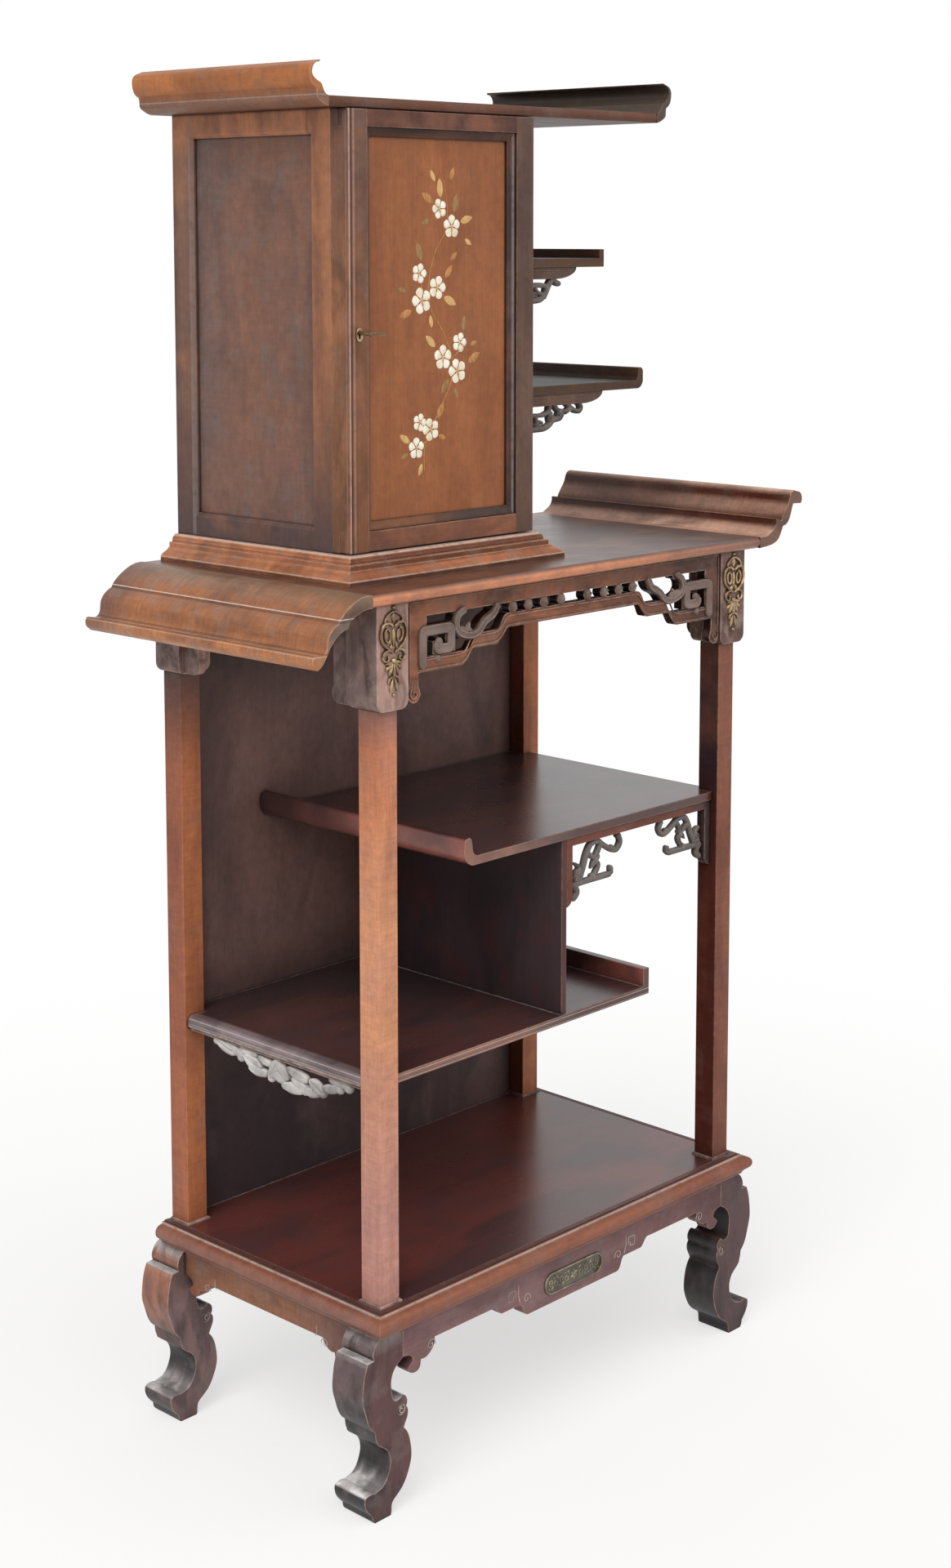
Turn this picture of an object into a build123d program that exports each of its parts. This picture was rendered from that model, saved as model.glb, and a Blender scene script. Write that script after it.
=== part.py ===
from build123d import *
import math
import os

# East Asian display cabinet: a scroll-legged stand with open shelves under a curled console board,
# and a small closed cupboard with a winged roof standing on its left half.
# Millimetres. +X is the viewer's right, +Y the wall side, +Z up.
# The pieces are drawn about the middle of the four posts, with the floor at zero, and
# everything is shifted at the end so that the origin is the middle of the footprint box.

# ---- driving dimensions -------------------------------------------------------------
# heights that stack up from the floor
leg_height = 238.0
platform_thickness = 30.0
post_height = 752.0
capital_height = 131.0
console_thickness = 16.0
plinth_height = 33.0
cabinet_height = 540.0
roof_thickness = 13.0

# frame of the stand
post_spacing_x = 666.5
post_spacing_y = 369.2
post_width = 33.5
board_margin = 3.5
moulding_width = 23.0
leg_thickness = 55.0
leg_setback = 14.8
leg_face_inset = 28.0
apron_thickness = 20.0
apron_depth = 31.0
side_apron_depth = 34.0
side_bracket_scale = 0.9
back_margin = 3.6
rear_leg_overhang = 12.0
side_apron_setback = 15.5
back_panel_thickness = 5.4
rebate_width = 8.0

# capitals, frieze and console board
capital_width = 54.0
capital_corner_radius = 12.0
wing_thickness = 13.0
wing_reach = 30.0
ball_radius = 11.0
frieze_thickness = 14.0
frieze_setback = 2.6
frieze_rail = 22.0
frieze_bar = 18.0
frieze_drop = 91.0
console_front_overhang = 13.4
console_side_overhang = 28.5
curl_reach = 97.5

# open shelves
shelf_thickness = 12.0
upper_shelf_level = 539.0
lower_shelf_level = 289.0
upper_shelf_left = 188.0
lower_shelf_right = 180.0
lip_height = 25.0
lip_width = 12.0
shelf_setback = 9.0
divider_thickness = 10.0
divider_left = 0.0
rail_height = 12.0
rail_thickness = 14.0
strip_width = 12.0
strip_length = 82.0
fret_thickness = 10.0
pendant_depth = 28.0
pendant_end_gap = 38.0
edge_moulding_height = 7.0
shelf_edge_slope = 8.0

# closed cupboard
cabinet_width = 331.0
cabinet_right = 5.0
cabinet_depth = 297.0
cabinet_back_gap = 4.9
side_thickness = 20.0
side_stile = 38.0
side_rail = 30.0
side_bevel = 4.0
side_panel_thickness = 7.0
panel_groove = 6.0
panel_recess = 8.0
floor_thickness = 12.0
back_thickness = 6.0
plinth_margin = 30.0
plinth_ring_width = 48.0

# door and its fittings
door_thickness = 30.0
door_gap = 0.5
door_bottom_gap = 2.0
door_top_gap = 1.0
door_stile = 32.0
door_top_rail = 21.0
door_bottom_rail = 25.0
door_moulding_width = 11.0
door_panel_recess = 11.0
door_panel_thickness = 8.0
corner_bead_radius = 2.3
corner_quirk = 1.6
corner_shoulder = 8.3
tenon_thickness = 9.5
tenon_from_back = 12.0
inlay_thickness = 0.8
hinge_height = 50.0
hinge_inset = 60.0
hinge_knuckle_radius = 3.0
hinge_pin_radius = 1.5
hinge_clearance = 0.05
hinge_leaf_thickness = 1.5
hinge_leaf_width = 17.0
knuckle_gap = 0.4
key_inset = 17.0
key_shaft_radius = 2.5
key_reach = 41.0
lock_height = 48.0
lock_wall = 2.0
lock_depth = 14.0
lock_width = 24.0
bolt_width = 6.0
bolt_thickness = 4.0
bolt_length = 20.0
link_thickness = 2.5
link_width = 8.0
running_gap = 0.5

# roof and side shelves
roof_left_overhang = 30.0
roof_right_reach = 256.0
roof_scroll_reach = 30.0
roof_scroll_height = 41.0
side_shelf_thickness = 12.0
side_shelf_setback = 11.0
upper_side_shelf_level = 357.0
lower_side_shelf_level = 187.0
upper_side_shelf_reach = 190.0
lower_side_shelf_reach = 276.0
side_console_height = 15.5
upper_console_reach = 136.0
lower_console_reach = 192.0
side_console_thickness = 12.0

# ---- levels and lines worked out from them -------------------------------------------
platform_bottom = leg_height
platform_top = platform_bottom + platform_thickness
capital_bottom = platform_top + post_height
console_bottom = capital_bottom + capital_height
console_top = console_bottom + console_thickness
plinth_top = console_top + plinth_height
cabinet_top = plinth_top + cabinet_height
roof_top = cabinet_top + roof_thickness

post_x = post_spacing_x / 2
post_y = post_spacing_y / 2
post_outer_x = post_x + post_width / 2
post_inner_x = post_x - post_width / 2
post_outer_y = post_y + post_width / 2
post_inner_y = post_y - post_width / 2
board_half_width = post_outer_x + board_margin
board_front = -(post_outer_y + board_margin)
platform_front = board_front - moulding_width
platform_half_width = board_half_width + moulding_width
platform_back = post_outer_y + back_margin
leg_front = platform_front + leg_setback
leg_back = platform_back + rear_leg_overhang
panel_front = post_outer_y - back_panel_thickness
console_front = -(post_y + capital_width / 2) - console_front_overhang
console_back = post_outer_y
console_flat_half = post_outer_x + console_side_overhang
shelf_front = -post_outer_y + shelf_setback

cabinet_left = cabinet_right - cabinet_width
cabinet_back = post_outer_y - cabinet_back_gap
carcass_front = cabinet_back - cabinet_depth
door_back = carcass_front - door_gap
door_front = door_back - door_thickness
door_bottom = plinth_top + door_bottom_gap
door_top = cabinet_top - door_top_gap
door_middle = (door_bottom + door_top) / 2
upper_shelf_top = platform_top + upper_shelf_level
lower_shelf_top = platform_top + lower_shelf_level

shift_y = -(platform_front + leg_back) / 2


# ---- helpers --------------------------------------------------------------------------
def outline(start, *stretches):
    """A closed face: a stretch of one point is a line, of two an arc, of more a smooth curve."""
    edges = []
    here = start
    for stretch in stretches:
        path = [here, *stretch]
        if len(path) == 2:
            edges.append(Line(*path))
        elif len(path) == 3:
            edges.append(ThreePointArc(*path))
        else:
            edges.append(Spline(*path))
        here = path[-1]
    if math.dist(here, start) > 1e-6:
        edges.append(Line(here, start))
    return make_face(edges)


def block(x0, x1, y0, y1, z0, z1):
    """A box between two corners."""
    return Pos((x0 + x1) / 2, (y0 + y1) / 2, (z0 + z1) / 2) * Box(x1 - x0, y1 - y0, z1 - z0)


def through_y(face, y0, y1):
    """A face drawn in X and Z, made solid from y0 to y1."""
    return Pos(0, y0, 0) * extrude(Plane.XZ * face, amount=y1 - y0, dir=(0, 1, 0))


def through_x(face, x0, x1):
    """A face drawn in Y and Z, made solid from x0 to x1."""
    return Pos(x0, 0, 0) * extrude(Plane.YZ * face, amount=x1 - x0, dir=(1, 0, 0))


def ribbon(width, *points):
    """A flat band of one width along a smooth line, with round ends."""
    if len(points) == 2:
        line = Line(*points)
    elif len(points) == 3:
        line = ThreePointArc(*points)
    else:
        line = Spline(*points)
    band = trace(line, line_width=width)
    for end in (points[0], points[-1]):
        band += Pos(*end) * Circle(width / 2)
    return band


def rounded_board(x0, x1, y0, y1, z0, z1, radius):
    """A board with a rounded front edge."""
    middle = (z0 + z1) / 2
    face = outline((y1, z0), [(y1, z1)], [(y0 + radius, z1)],
                   [(y0, middle), (y0 + radius, z0)])
    return through_x(face, x0, x1)


def together(solids):
    """Separate solids as one piece."""
    group = solids[0]
    for solid in solids[1:]:
        group += solid
    return group


def flip_x(piece):
    """The same piece on the other side of the middle."""
    return mirror(piece, about=Plane.YZ)


def three_sided(profile, left, right, front, back):
    """A moulding run along the left, front and right edges, mitred at both front corners.

    The profile is drawn in inset and height, inset being measured inwards from the edge.
    """
    reach = max(vertex.X for vertex in profile.vertices())
    low = min(vertex.Y for vertex in profile.vertices()) - 1
    high = max(vertex.Y for vertex in profile.vertices()) + 1
    front_run = through_x(Pos(front, 0) * profile, left, right)
    left_run = through_y(Pos(left, 0) * profile, front, back)
    right_run = through_y(Pos(right, 0) * mirror(profile, about=Plane.YZ), front, back)
    front_zone = outline((left, front), [(left + reach, front + reach)],
                         [(right - reach, front + reach)], [(right, front)])
    front_piece = front_run & (Pos(0, 0, low) * extrude(front_zone, amount=high - low))
    left_zone = outline((left, front), [(left + reach, front + reach)],
                        [(left + reach, back)], [(left, back)])
    left_piece = left_run & (Pos(0, 0, low) * extrude(left_zone, amount=high - low))
    right_zone = outline((right, front), [(right - reach, front + reach)],
                         [(right - reach, back)], [(right, back)])
    right_piece = right_run & (Pos(0, 0, low) * extrude(right_zone, amount=high - low))
    return front_piece + left_piece + right_piece


pieces = {}


def keep(name, piece):
    """Store a piece, moved so that the footprint's middle is the origin."""
    pieces[name] = Pos(0, shift_y, 0) * piece


# ---- base -----------------------------------------------------------------------------
def leg_outline():
    """A right-hand leg seen from the front, drawn 238 high and out from the post's outer face."""
    tall = leg_height / 238.0

    def at(out, high):
        return (post_outer_x + out, high * tall)

    return outline(
        at(-leg_face_inset, 238), [at(8, 238)],
        [at(16, 234), at(21, 228), at(24, 218), at(22, 212)],
        [at(33, 211)],
        [at(38, 198), at(41, 181), at(41, 160), at(38, 150), at(34, 137), at(31, 130), at(21, 118)],
        [at(20, 110)], [at(17, 101)],
        [at(10, 95), at(1, 88), at(-4, 79), at(-5, 67), at(-2, 57), at(3, 48), at(10, 42)],
        [at(22, 39)],
        [at(33, 40), at(38, 38), at(39, 29), at(35, 20), at(26, 10)],
        [at(25, 4)], [at(22, 0)], [at(-5, 0)],
        [at(-6, 2), at(-8, 15), at(-16, 22), at(-28, 32), at(-37, 47), at(-42, 63), at(-41, 81),
         at(-38, 93), at(-29, 107)],
        [at(-33, 115), at(-36, 122), at(-36, 129), at(-33, 134)],
        [at(-35, 139), at(-34, 145), at(-26, 151)],
        [at(-20, 147), at(-13, 148), at(-8, 161), at(-7, 172), at(-8, 179), at(-13, 189),
         at(-20, 195), at(-leg_face_inset, 200)])


def leg(depth_from, depth_to):
    """A right-hand leg with a shallow ring sunk in the leaf on its inner side."""
    body = through_y(leg_outline(), depth_from, depth_to)
    eye_height = 132 * leg_height / 238.0
    eye = Pos(post_outer_x - 25, depth_from, eye_height) * Rot(90, 0, 0) * Torus(5.5, 1.2)
    return body - eye


def bracket(at, join, depth, scale=1.0):
    """The lower edge of an apron's end, from the leg's side to the straight run: a hooked bracket."""
    def spot(away, down):
        return at(join - away * scale, down * scale)

    return (
        [spot(0, 38)],
        [spot(8, 39), spot(14, 42), spot(17, 46), spot(12, 53)],
        [spot(8, 58)],
        [spot(12, 63), spot(18, 65.5), spot(25, 65), spot(31, 56)],
        [spot(32, 52)],
        [spot(42, 52), spot(50, 47), spot(55, 41), at(join - 56 * scale, depth)])


def front_apron():
    """The apron between the front legs, with a bracket at each end and a cusped drop between."""
    join = post_outer_x - leg_face_inset

    def half(side):
        def at(x, down):
            return (side * x, platform_bottom - down)

        return outline(
            at(0, 0), [at(join, 0)], *bracket(at, join, apron_depth),
            [at(160, apron_depth)],
            [at(152, apron_depth + 2), at(146, apron_depth + 9), at(138, apron_depth + 12)],
            [at(105, apron_depth + 12)],
            [at(100, apron_depth + 19), at(96, apron_depth + 27), at(88, apron_depth + 30)],
            [at(0, apron_depth + 30)])

    apron = through_y(half(1) + half(-1), leg_front, leg_front + apron_thickness)
    for side in (-1, 1):
        eye = Pos(side * (join - 50), leg_front, platform_bottom - apron_depth - 7)
        apron -= eye * Rot(90, 0, 0) * Torus(4.5, 0.9)
    return apron


def side_apron():
    """The right-hand apron, between the front and the rear leg, with a bracket at each end."""
    near = leg_front + leg_thickness
    far = leg_back - leg_thickness
    middle = (near + far) / 2
    join = (far - near) / 2
    outer = platform_half_width - side_apron_setback

    def half(side):
        def at(y, down):
            return (middle + side * y, platform_bottom - down)

        return outline(
            at(0, 0), [at(join, 0)],
            *bracket(at, join, side_apron_depth, side_bracket_scale),
            [at(0, side_apron_depth)])

    return through_x(half(1) + half(-1), outer - apron_thickness, outer)


def platform_moulding():
    """The bead and bullnose that frame the platform board on three sides."""
    high = platform_top
    wide = moulding_width
    profile = outline(
        (wide, high), [(wide - 7, high)], [(wide - 7, high - 2)],
        [(wide - 9, high - 1), (wide - 11, high - 2)], [(wide - 11.5, high - 4)],
        [(wide - 17, high - 5), (wide - 21.5, high - 8.5), (wide - 23, high - 13),
         (wide - 21, high - 20), (wide - 14, high - 26), (wide - 12, high - platform_thickness)],
        [(wide, high - platform_thickness)])
    return three_sided(profile, -platform_half_width, platform_half_width,
                       platform_front, platform_back)


def cartouche():
    """A thin brass plate with round ends and a raised rim, set on the front apron."""
    middle = Pos(0, platform_bottom - 34)
    plate = through_y(middle * SlotOverall(118, 31), leg_front - 1.2, leg_front)
    rim = middle * SlotOverall(118, 31) - middle * SlotOverall(112, 25)
    return plate + through_y(rim, leg_front - 2.4, leg_front)


for side, word in ((-1, "left"), (1, "right")):
    front_leg = leg(leg_front, leg_front + leg_thickness)
    rear_leg = leg(leg_back - leg_thickness, leg_back)
    apron = side_apron()
    if side < 0:
        front_leg = flip_x(front_leg)
        rear_leg = flip_x(rear_leg)
        apron = flip_x(apron)
    keep("leg_front_" + word, front_leg)
    keep("leg_rear_" + word, rear_leg)
    keep("apron_" + word, apron)

keep("apron_front", front_apron())
rear_apron_half = post_outer_x - leg_face_inset
keep("apron_rear", block(-rear_apron_half, rear_apron_half, platform_back - apron_thickness,
                         platform_back, platform_bottom - side_apron_depth, platform_bottom))
keep("apron_cartouche", cartouche())
keep("platform_board", block(-board_half_width, board_half_width, board_front, platform_back,
                             platform_bottom, platform_top))
keep("platform_moulding", platform_moulding())

# ---- posts, back panel and capitals -----------------------------------------------------
for side, word in ((-1, "left"), (1, "right")):
    front_post = block(side * post_x - post_width / 2, side * post_x + post_width / 2,
                       -post_outer_y, -post_inner_y, platform_top, capital_bottom)
    keep("post_front_" + word, front_post)
    rear_post = block(side * post_x - post_width / 2, side * post_x + post_width / 2,
                      post_inner_y, post_outer_y, platform_top, capital_bottom)
    rebate_inner = side * post_inner_x
    rebate_outer = side * (post_inner_x + rebate_width)
    rebate = block(min(rebate_inner, rebate_outer), max(rebate_inner, rebate_outer),
                   panel_front, post_outer_y, platform_top, capital_bottom)
    keep("post_rear_" + word, rear_post - rebate)

panel_half = post_inner_x + rebate_width
keep("back_panel", block(-panel_half, panel_half, panel_front, post_outer_y,
                         platform_top, console_bottom))


def capital_block():
    """A right-hand capital block with rounded lower corners, standing on a front post."""
    left = post_x - capital_width / 2
    right = post_x + capital_width / 2
    soft = capital_corner_radius
    bend = soft * (1 - math.sqrt(0.5))
    face = outline(
        (left, console_bottom), [(left, capital_bottom + soft)],
        [(left + bend, capital_bottom + bend), (left + soft, capital_bottom)],
        [(right - soft, capital_bottom)],
        [(right - bend, capital_bottom + bend), (right, capital_bottom + soft)],
        [(right, console_bottom)])
    return through_y(face, -post_y - capital_width / 2, -post_y + capital_width / 2)


def capital_wing():
    """A thin stile beside a front capital, along the end of the stand, ending in a ball."""
    near = -post_y + capital_width / 2
    tip = near + wing_reach
    ball_y = tip - ball_radius + 3
    ball_z = capital_bottom + ball_radius + 2
    face = outline(
        (near, console_bottom), [(tip, console_bottom)], [(tip, ball_z + ball_radius)],
        [(ball_y + ball_radius, ball_z), (ball_y, ball_z - ball_radius)],
        [(near, ball_z - ball_radius)])
    middle = post_x + wing_thickness
    return through_x(face, middle - wing_thickness / 2, middle + wing_thickness / 2)


front_capital = capital_block() + capital_wing()
rear_capital = mirror(front_capital, about=Plane.XZ)
rear_capital -= block(-2 * post_x, 2 * post_x, platform_back, platform_back + capital_width,
                      0, roof_top)
panel_slot = block(-panel_half, panel_half, panel_front, platform_back + 1, 0, roof_top)
rear_capital -= panel_slot
for side, word in ((-1, "left"), (1, "right")):
    keep("capital_front_" + word, front_capital if side > 0 else flip_x(front_capital))
    keep("capital_rear_" + word, rear_capital if side > 0 else flip_x(rear_capital))


def capital_mount(side):
    """A pierced brass mount on the face of a front capital: hearts, rings and a leafed foot."""
    middle = console_bottom - capital_height / 2
    shape = Pos(0, 3) * Rectangle(3, 92)
    rings = ((0, 42, 8), (-7, 27, 8), (7, 27, 8), (0, 12, 9), (-6, -3, 6), (6, -3, 6),
             (0, -17, 8), (-4, -33, 6), (4, -33, 6))
    for across, high, radius in rings:
        shape += Pos(across, high) * (Circle(radius) - Circle(radius - 2.6))
    shape += Pos(0, -43) * Circle(4)
    face = Pos(side * post_x, middle) * shape
    front = -post_y - capital_width / 2
    return through_y(face, front - 1.6, front)


keep("capital_mounts", together([capital_mount(-1), capital_mount(1)]))


# ---- frieze ------------------------------------------------------------------------------
def frieze():
    """The pierced frieze between the front capitals, with a key and a vine at each end."""
    top = console_bottom
    edge = post_x - capital_width / 2
    end = edge - 18
    low = frieze_drop
    mid = low - 19
    high = mid - 18.5
    ball_x = edge - ball_radius
    ball_down = capital_height - ball_radius - 4

    def half(side):
        def at(x, down):
            return (side * x, top - down)

        body = outline(
            at(0, 0), [at(edge, 0)], [at(edge, ball_down)],
            [at(ball_x, ball_down + ball_radius), at(ball_x - ball_radius, ball_down)],
            [at(ball_x - 8, ball_down - 8)],
            [at(end, ball_down - 16)], [at(end, low)], [at(end - 73, low)],
            [at(end - 82, low - 3), at(end - 88, low - 12), at(end - 96, mid)],
            [at(end - 136, mid)],
            [at(end - 145, mid - 3), at(end - 150, mid - 13), at(end - 158, high)],
            [at(0, high)])
        window = outline(
            at(-1, frieze_rail), [at(end - 15, frieze_rail)], [at(end - 15, low - frieze_bar)],
            [at(end - 84, low - frieze_bar)],
            [at(end - 92, low - frieze_bar - 3), at(end - 98, low - frieze_bar - 12),
             at(end - 106, mid - frieze_bar)],
            [at(end - 138, mid - frieze_bar)],
            [at(end - 146, mid - frieze_bar - 3), at(end - 152, mid - frieze_bar - 13),
             at(end - 162, high - frieze_bar)],
            [at(-1, high - frieze_bar)])
        key = outline(
            at(end, 34), [at(end - 65, 34)], [at(end - 65, 71)], [at(end - 26, 71)],
            [at(end - 26, 55)], [at(end - 37, 55)], [at(end - 37, 60)], [at(end - 48, 60)],
            [at(end - 48, 47)], [at(end, 47)])
        knob = Pos(*at(end - 36, 57)) * Circle(6)
        foot_knob = Pos(*at(end - 34, 76)) * Circle(5.5)
        vine = ribbon(11, at(end - 81, frieze_rail), at(end - 68, 28), at(end - 65, 39),
                      at(end - 72, 50), at(end - 90, 55), at(end - 105, 52), at(end - 116, 41),
                      at(end - 132, 33), at(end - 139, frieze_rail))
        fill = key + knob + foot_knob + vine
        for place in (26, 59, 89, 118):
            fill += Pos(*at(place, (frieze_rail + high - frieze_bar) / 2)) * Circle(7.6)
        return body, window, fill

    right_body, right_window, right_fill = half(1)
    left_body, left_window, left_fill = half(-1)
    face = right_body + left_body - right_window - left_window + right_fill + left_fill
    front = -post_y - capital_width / 2 + frieze_setback
    return through_y(face, front, front + frieze_thickness)


keep("front_frieze", frieze())


# ---- console board and its curled ends ------------------------------------------------------
def curl_down():
    """The left end of the console board: an ogee rolled down to a thin lip."""
    top = console_top
    out = console_flat_half
    far = curl_reach / 97.5

    def at(x, down):
        return (-out - x * far, top - down)

    face = outline(
        at(0, 0), [at(20, 1), at(35, 8), at(45, 15), at(53, 23)], [at(55, 27)],
        [at(64, 32), at(70, 38), at(73, 44), at(74, 52), at(78, 61)], [at(82, 63)],
        [at(95, 61)], [at(97.5, 65), at(93, 76)], [at(90, 79)],
        [at(81, 73), at(69, 55), at(60, 45), at(40, 35)], [at(37, 28)],
        [at(26, 21), at(15, 17), at(0, console_thickness)])
    return through_y(face, console_front, console_back)


def curl_up():
    """The right end of the console board: an ogee rolled up to a lip."""
    low = console_bottom
    out = console_flat_half
    far = curl_reach / 97.5

    def at(x, up):
        return (out + x * far, low + up)

    face = outline(
        at(0, 0), [at(15, 1), at(29, 3), at(41, 8), at(48, 17), at(52, 25)], [at(54, 27)],
        [at(64, 31), at(70, 40), at(73, 48), at(77, 57)], [at(95, 56)],
        [at(97.5, 62), at(86, 74)], [at(79, 76)],
        [at(70, 71), at(66, 61), at(57, 48), at(49, 35)], [at(37, 39)],
        [at(37, 34), at(34, 27), at(26, 21), at(17, 16)], [at(0, console_thickness)])
    return through_y(face, console_front, console_back)


keep("console_board", rounded_board(-console_flat_half, console_flat_half, console_front,
                                    console_back, console_bottom, console_top, 6))
keep("console_end_left", curl_down())
keep("console_end_right", curl_up())

# ---- open shelves ------------------------------------------------------------------------------
upper_shelf_right = post_x


def cut_posts(board, sides):
    """Notch a shelf round the posts it meets."""
    for side in sides:
        for end in (-1, 1):
            board -= block(side * post_x - post_width / 2,
                           side * post_x + post_width / 2,
                           end * post_y - post_width / 2,
                           end * post_y + post_width / 2, 0, roof_top)
    return board


def upper_shelf():
    """The upper shelf, whose left end turns up in a thick rounded lip."""
    top = upper_shelf_top
    low = top - shelf_thickness
    left = -upper_shelf_left
    face = outline(
        (upper_shelf_right, top), [(left + 24, top)],
        [(left + 17, top + 3), (left + 14, top + 12), (left + 12, top + lip_height - 3)],
        [(left + 5, top + lip_height), (left, top + lip_height - 7)],
        [(left - 1, top + 6), (left + 2, top - 4), (left + 9, top - 10), (left + 20, low)],
        [(upper_shelf_right, low)])
    return cut_posts(through_y(face, shelf_front, panel_front), (1,))


def lower_shelf():
    """The lower shelf: a square lip stands along its right end, and its left edge is rounded over."""
    top = lower_shelf_top
    left = -post_outer_x + 4
    right = lower_shelf_right
    slope = shelf_edge_slope
    face = outline((right, top), [(left + slope, top)], [(left + slope / 3, top - slope / 3),
                   (left, top - slope)], [(left, top - shelf_thickness)],
                   [(right, top - shelf_thickness)])
    board = through_y(face, shelf_front, panel_front)
    lip = block(right - lip_width, right, shelf_front, panel_front, top, top + lip_height)
    return cut_posts(board + lip, (-1,))


def shelf_edge_carving():
    """The moulded strip and the pierced pendant under the left edge of the lower shelf."""
    top = lower_shelf_top - shelf_thickness
    near = -post_inner_y
    far = post_inner_y
    x0 = -post_outer_x + 4
    strip_face = outline(
        (x0, top), [(x0 + 3, top - edge_moulding_height / 2), (x0 + 4, top - edge_moulding_height)],
        [(x0 + 20, top - edge_moulding_height)], [(x0 + 20, top)])
    strip = through_y(strip_face, near, far)
    base = top - edge_moulding_height + 2
    middle = (near + far) / 2 - 11
    half = (far - near) / 2 - pendant_end_gap

    def drop(y):
        return (pendant_depth - 8) * math.sqrt(max(0.0, 1 - ((y - middle) / half) ** 2)) + 4

    rim_points = []
    steps = 8
    for step in range(steps + 1):
        y = middle - half + 2 * half * step / steps
        rim_points.append((y, base - drop(y)))
    face = ribbon(9, *rim_points)
    for step in range(1, steps):
        y = middle - half + 2 * half * step / steps
        lean = 14 if step % 2 else -14
        face += ribbon(9, (y + lean, base), (y, base - drop(y)))
        face += Pos(y, base - drop(y) - 2) * Circle(8)
    face += outline((middle - half - 8, base + 2), [(middle + half + 8, base + 2)],
                    [(middle + half + 8, base - 6)], [(middle - half - 8, base - 6)])
    pendant = through_x(face, x0 + 6, x0 + 16)
    pendant -= block(-2 * post_x, 2 * post_x, -post_y, post_y,
                     top - edge_moulding_height, top + 20)
    return strip + pendant


divider_right = divider_left + divider_thickness
upper_rail_bottom = upper_shelf_top - shelf_thickness - rail_height


def shelf_rail():
    """The rail under the upper shelf's front edge, with a round-ended strip at each end."""
    top = upper_shelf_top - shelf_thickness
    low = upper_rail_bottom - strip_length
    right = post_inner_x

    def strip(x0, x1, outer_side):
        return outline(
            (x0, top), [(x1, top)], [(x1, low + strip_width if outer_side > 0 else low)],
            *([[(x1 - 3, low + 5), (x0, low)]] if outer_side > 0 else [
                [(x0 + 3, low + 5), (x0, low + strip_width)]]))

    left_strip = strip(divider_right, divider_right + strip_width, 1)
    right_strip = strip(right - strip_width, right, -1)
    bar = outline((divider_right, top), [(right, top)], [(right, top - rail_height)],
                  [(divider_right, top - rail_height)])
    front = shelf_front + 3
    return through_y(left_strip + right_strip + bar, front, front + rail_thickness)


def fret(side):
    """A pierced bracket of scrolls with a straight foot, in a corner under the upper shelf."""
    corner = divider_right + strip_width if side > 0 else post_inner_x - strip_width

    def at(out, down):
        return (corner + side * out, upper_rail_bottom - down)

    face = ribbon(7, at(99, 1), at(103, 15), at(96, 23), at(86, 22), at(75, 16), at(64, 9),
                  at(56, 1))
    face += ribbon(8, at(54, 2), at(41, 7), at(33, 19), at(28, 32), at(23, 43), at(18, 54))
    face += ribbon(6.5, at(62, 9), at(56, 19), at(51, 27), at(57, 37), at(51, 48), at(44, 54))
    face += ribbon(6, at(36, 17), at(45, 24), at(52, 27))
    face += ribbon(6, at(8, 26), at(16, 31), at(19, 40), at(12, 47), at(10, 54))
    face += ribbon(7, at(3.5, 55), at(83, 55))
    face += outline(at(80, 53), [at(80, 44)], [at(87, 41)], [at(87, 58)])
    face += ribbon(9, at(4.5, 55), at(11, 60), at(14, 66), at(9, 71))
    face += outline(at(0, 50), [at(6, 50)], [at(6, 60)], [at(0, 60)])
    for place in (at(54, 3), at(99, 3)):
        face += Pos(*place) * Circle(4)
    room = outline(at(0, 0), [at(120, 0)], [at(120, 90)], [at(0, 90)])
    face = face & room
    front = shelf_front + 5
    return through_y(face, front, front + fret_thickness)


keep("shelf_upper", upper_shelf())
keep("shelf_lower", lower_shelf())
keep("shelf_edge_carving", shelf_edge_carving())
keep("shelf_divider", block(divider_left, divider_right, shelf_front + 3, panel_front,
                            lower_shelf_top, upper_shelf_top - shelf_thickness))
keep("shelf_rail", shelf_rail())
keep("fret_left", fret(1))
keep("fret_right", fret(-1))


# ---- plinth and closed cupboard -----------------------------------------------------------------
def plinth():
    """The moulded frame under the cupboard: a fillet, an ogee, a step and a bead."""
    low = console_top
    high = plinth_height
    wide = plinth_ring_width
    profile = outline(
        (0, low), [(0, low + 6.5)],
        [(2, low + 8), (6, low + 11), (10, low + 13), (13, low + 16)],
        [(15, low + 16.5)], [(15, low + high - 10)], [(20, low + high - 9.5)],
        [(20.5, low + high - 5), (24, low + high - 1.5)], [(24, low + high)],
        [(wide, low + high)], [(wide, low)])
    return three_sided(profile, cabinet_left - plinth_margin, cabinet_right + plinth_margin,
                       door_front - plinth_margin, cabinet_back)


keep("plinth", plinth())


def cabinet_side(left_face):
    """A side frame with a bevelled window; left_face says whether its show face is to the left."""
    show = cabinet_left if left_face else cabinet_right
    inward = 1 if left_face else -1
    inner = show + inward * side_thickness
    x0 = min(show, inner)
    x1 = max(show, inner)
    y0 = carcass_front + side_stile
    y1 = cabinet_back - side_stile
    z0 = plinth_top + side_rail
    z1 = cabinet_top - side_rail
    frame = block(x0, x1, carcass_front, cabinet_back, plinth_top, cabinet_top)
    frame -= block(x0 - 1, x1 + 1, y0, y1, z0, z1)
    face = Plane((show, (y0 + y1) / 2, (z0 + z1) / 2), x_dir=(0, 1, 0), z_dir=(inward, 0, 0))
    frame -= loft([face * Rectangle(y1 - y0 + 2 * side_bevel, z1 - z0 + 2 * side_bevel),
                   face.offset(side_bevel) * Rectangle(y1 - y0, z1 - z0)])
    behind = show + inward * panel_recess
    return frame - block(min(behind, inner + inward), max(behind, inner + inward),
                         y0 - panel_groove, y1 + panel_groove, z0 - panel_groove, z1 + panel_groove)


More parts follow.
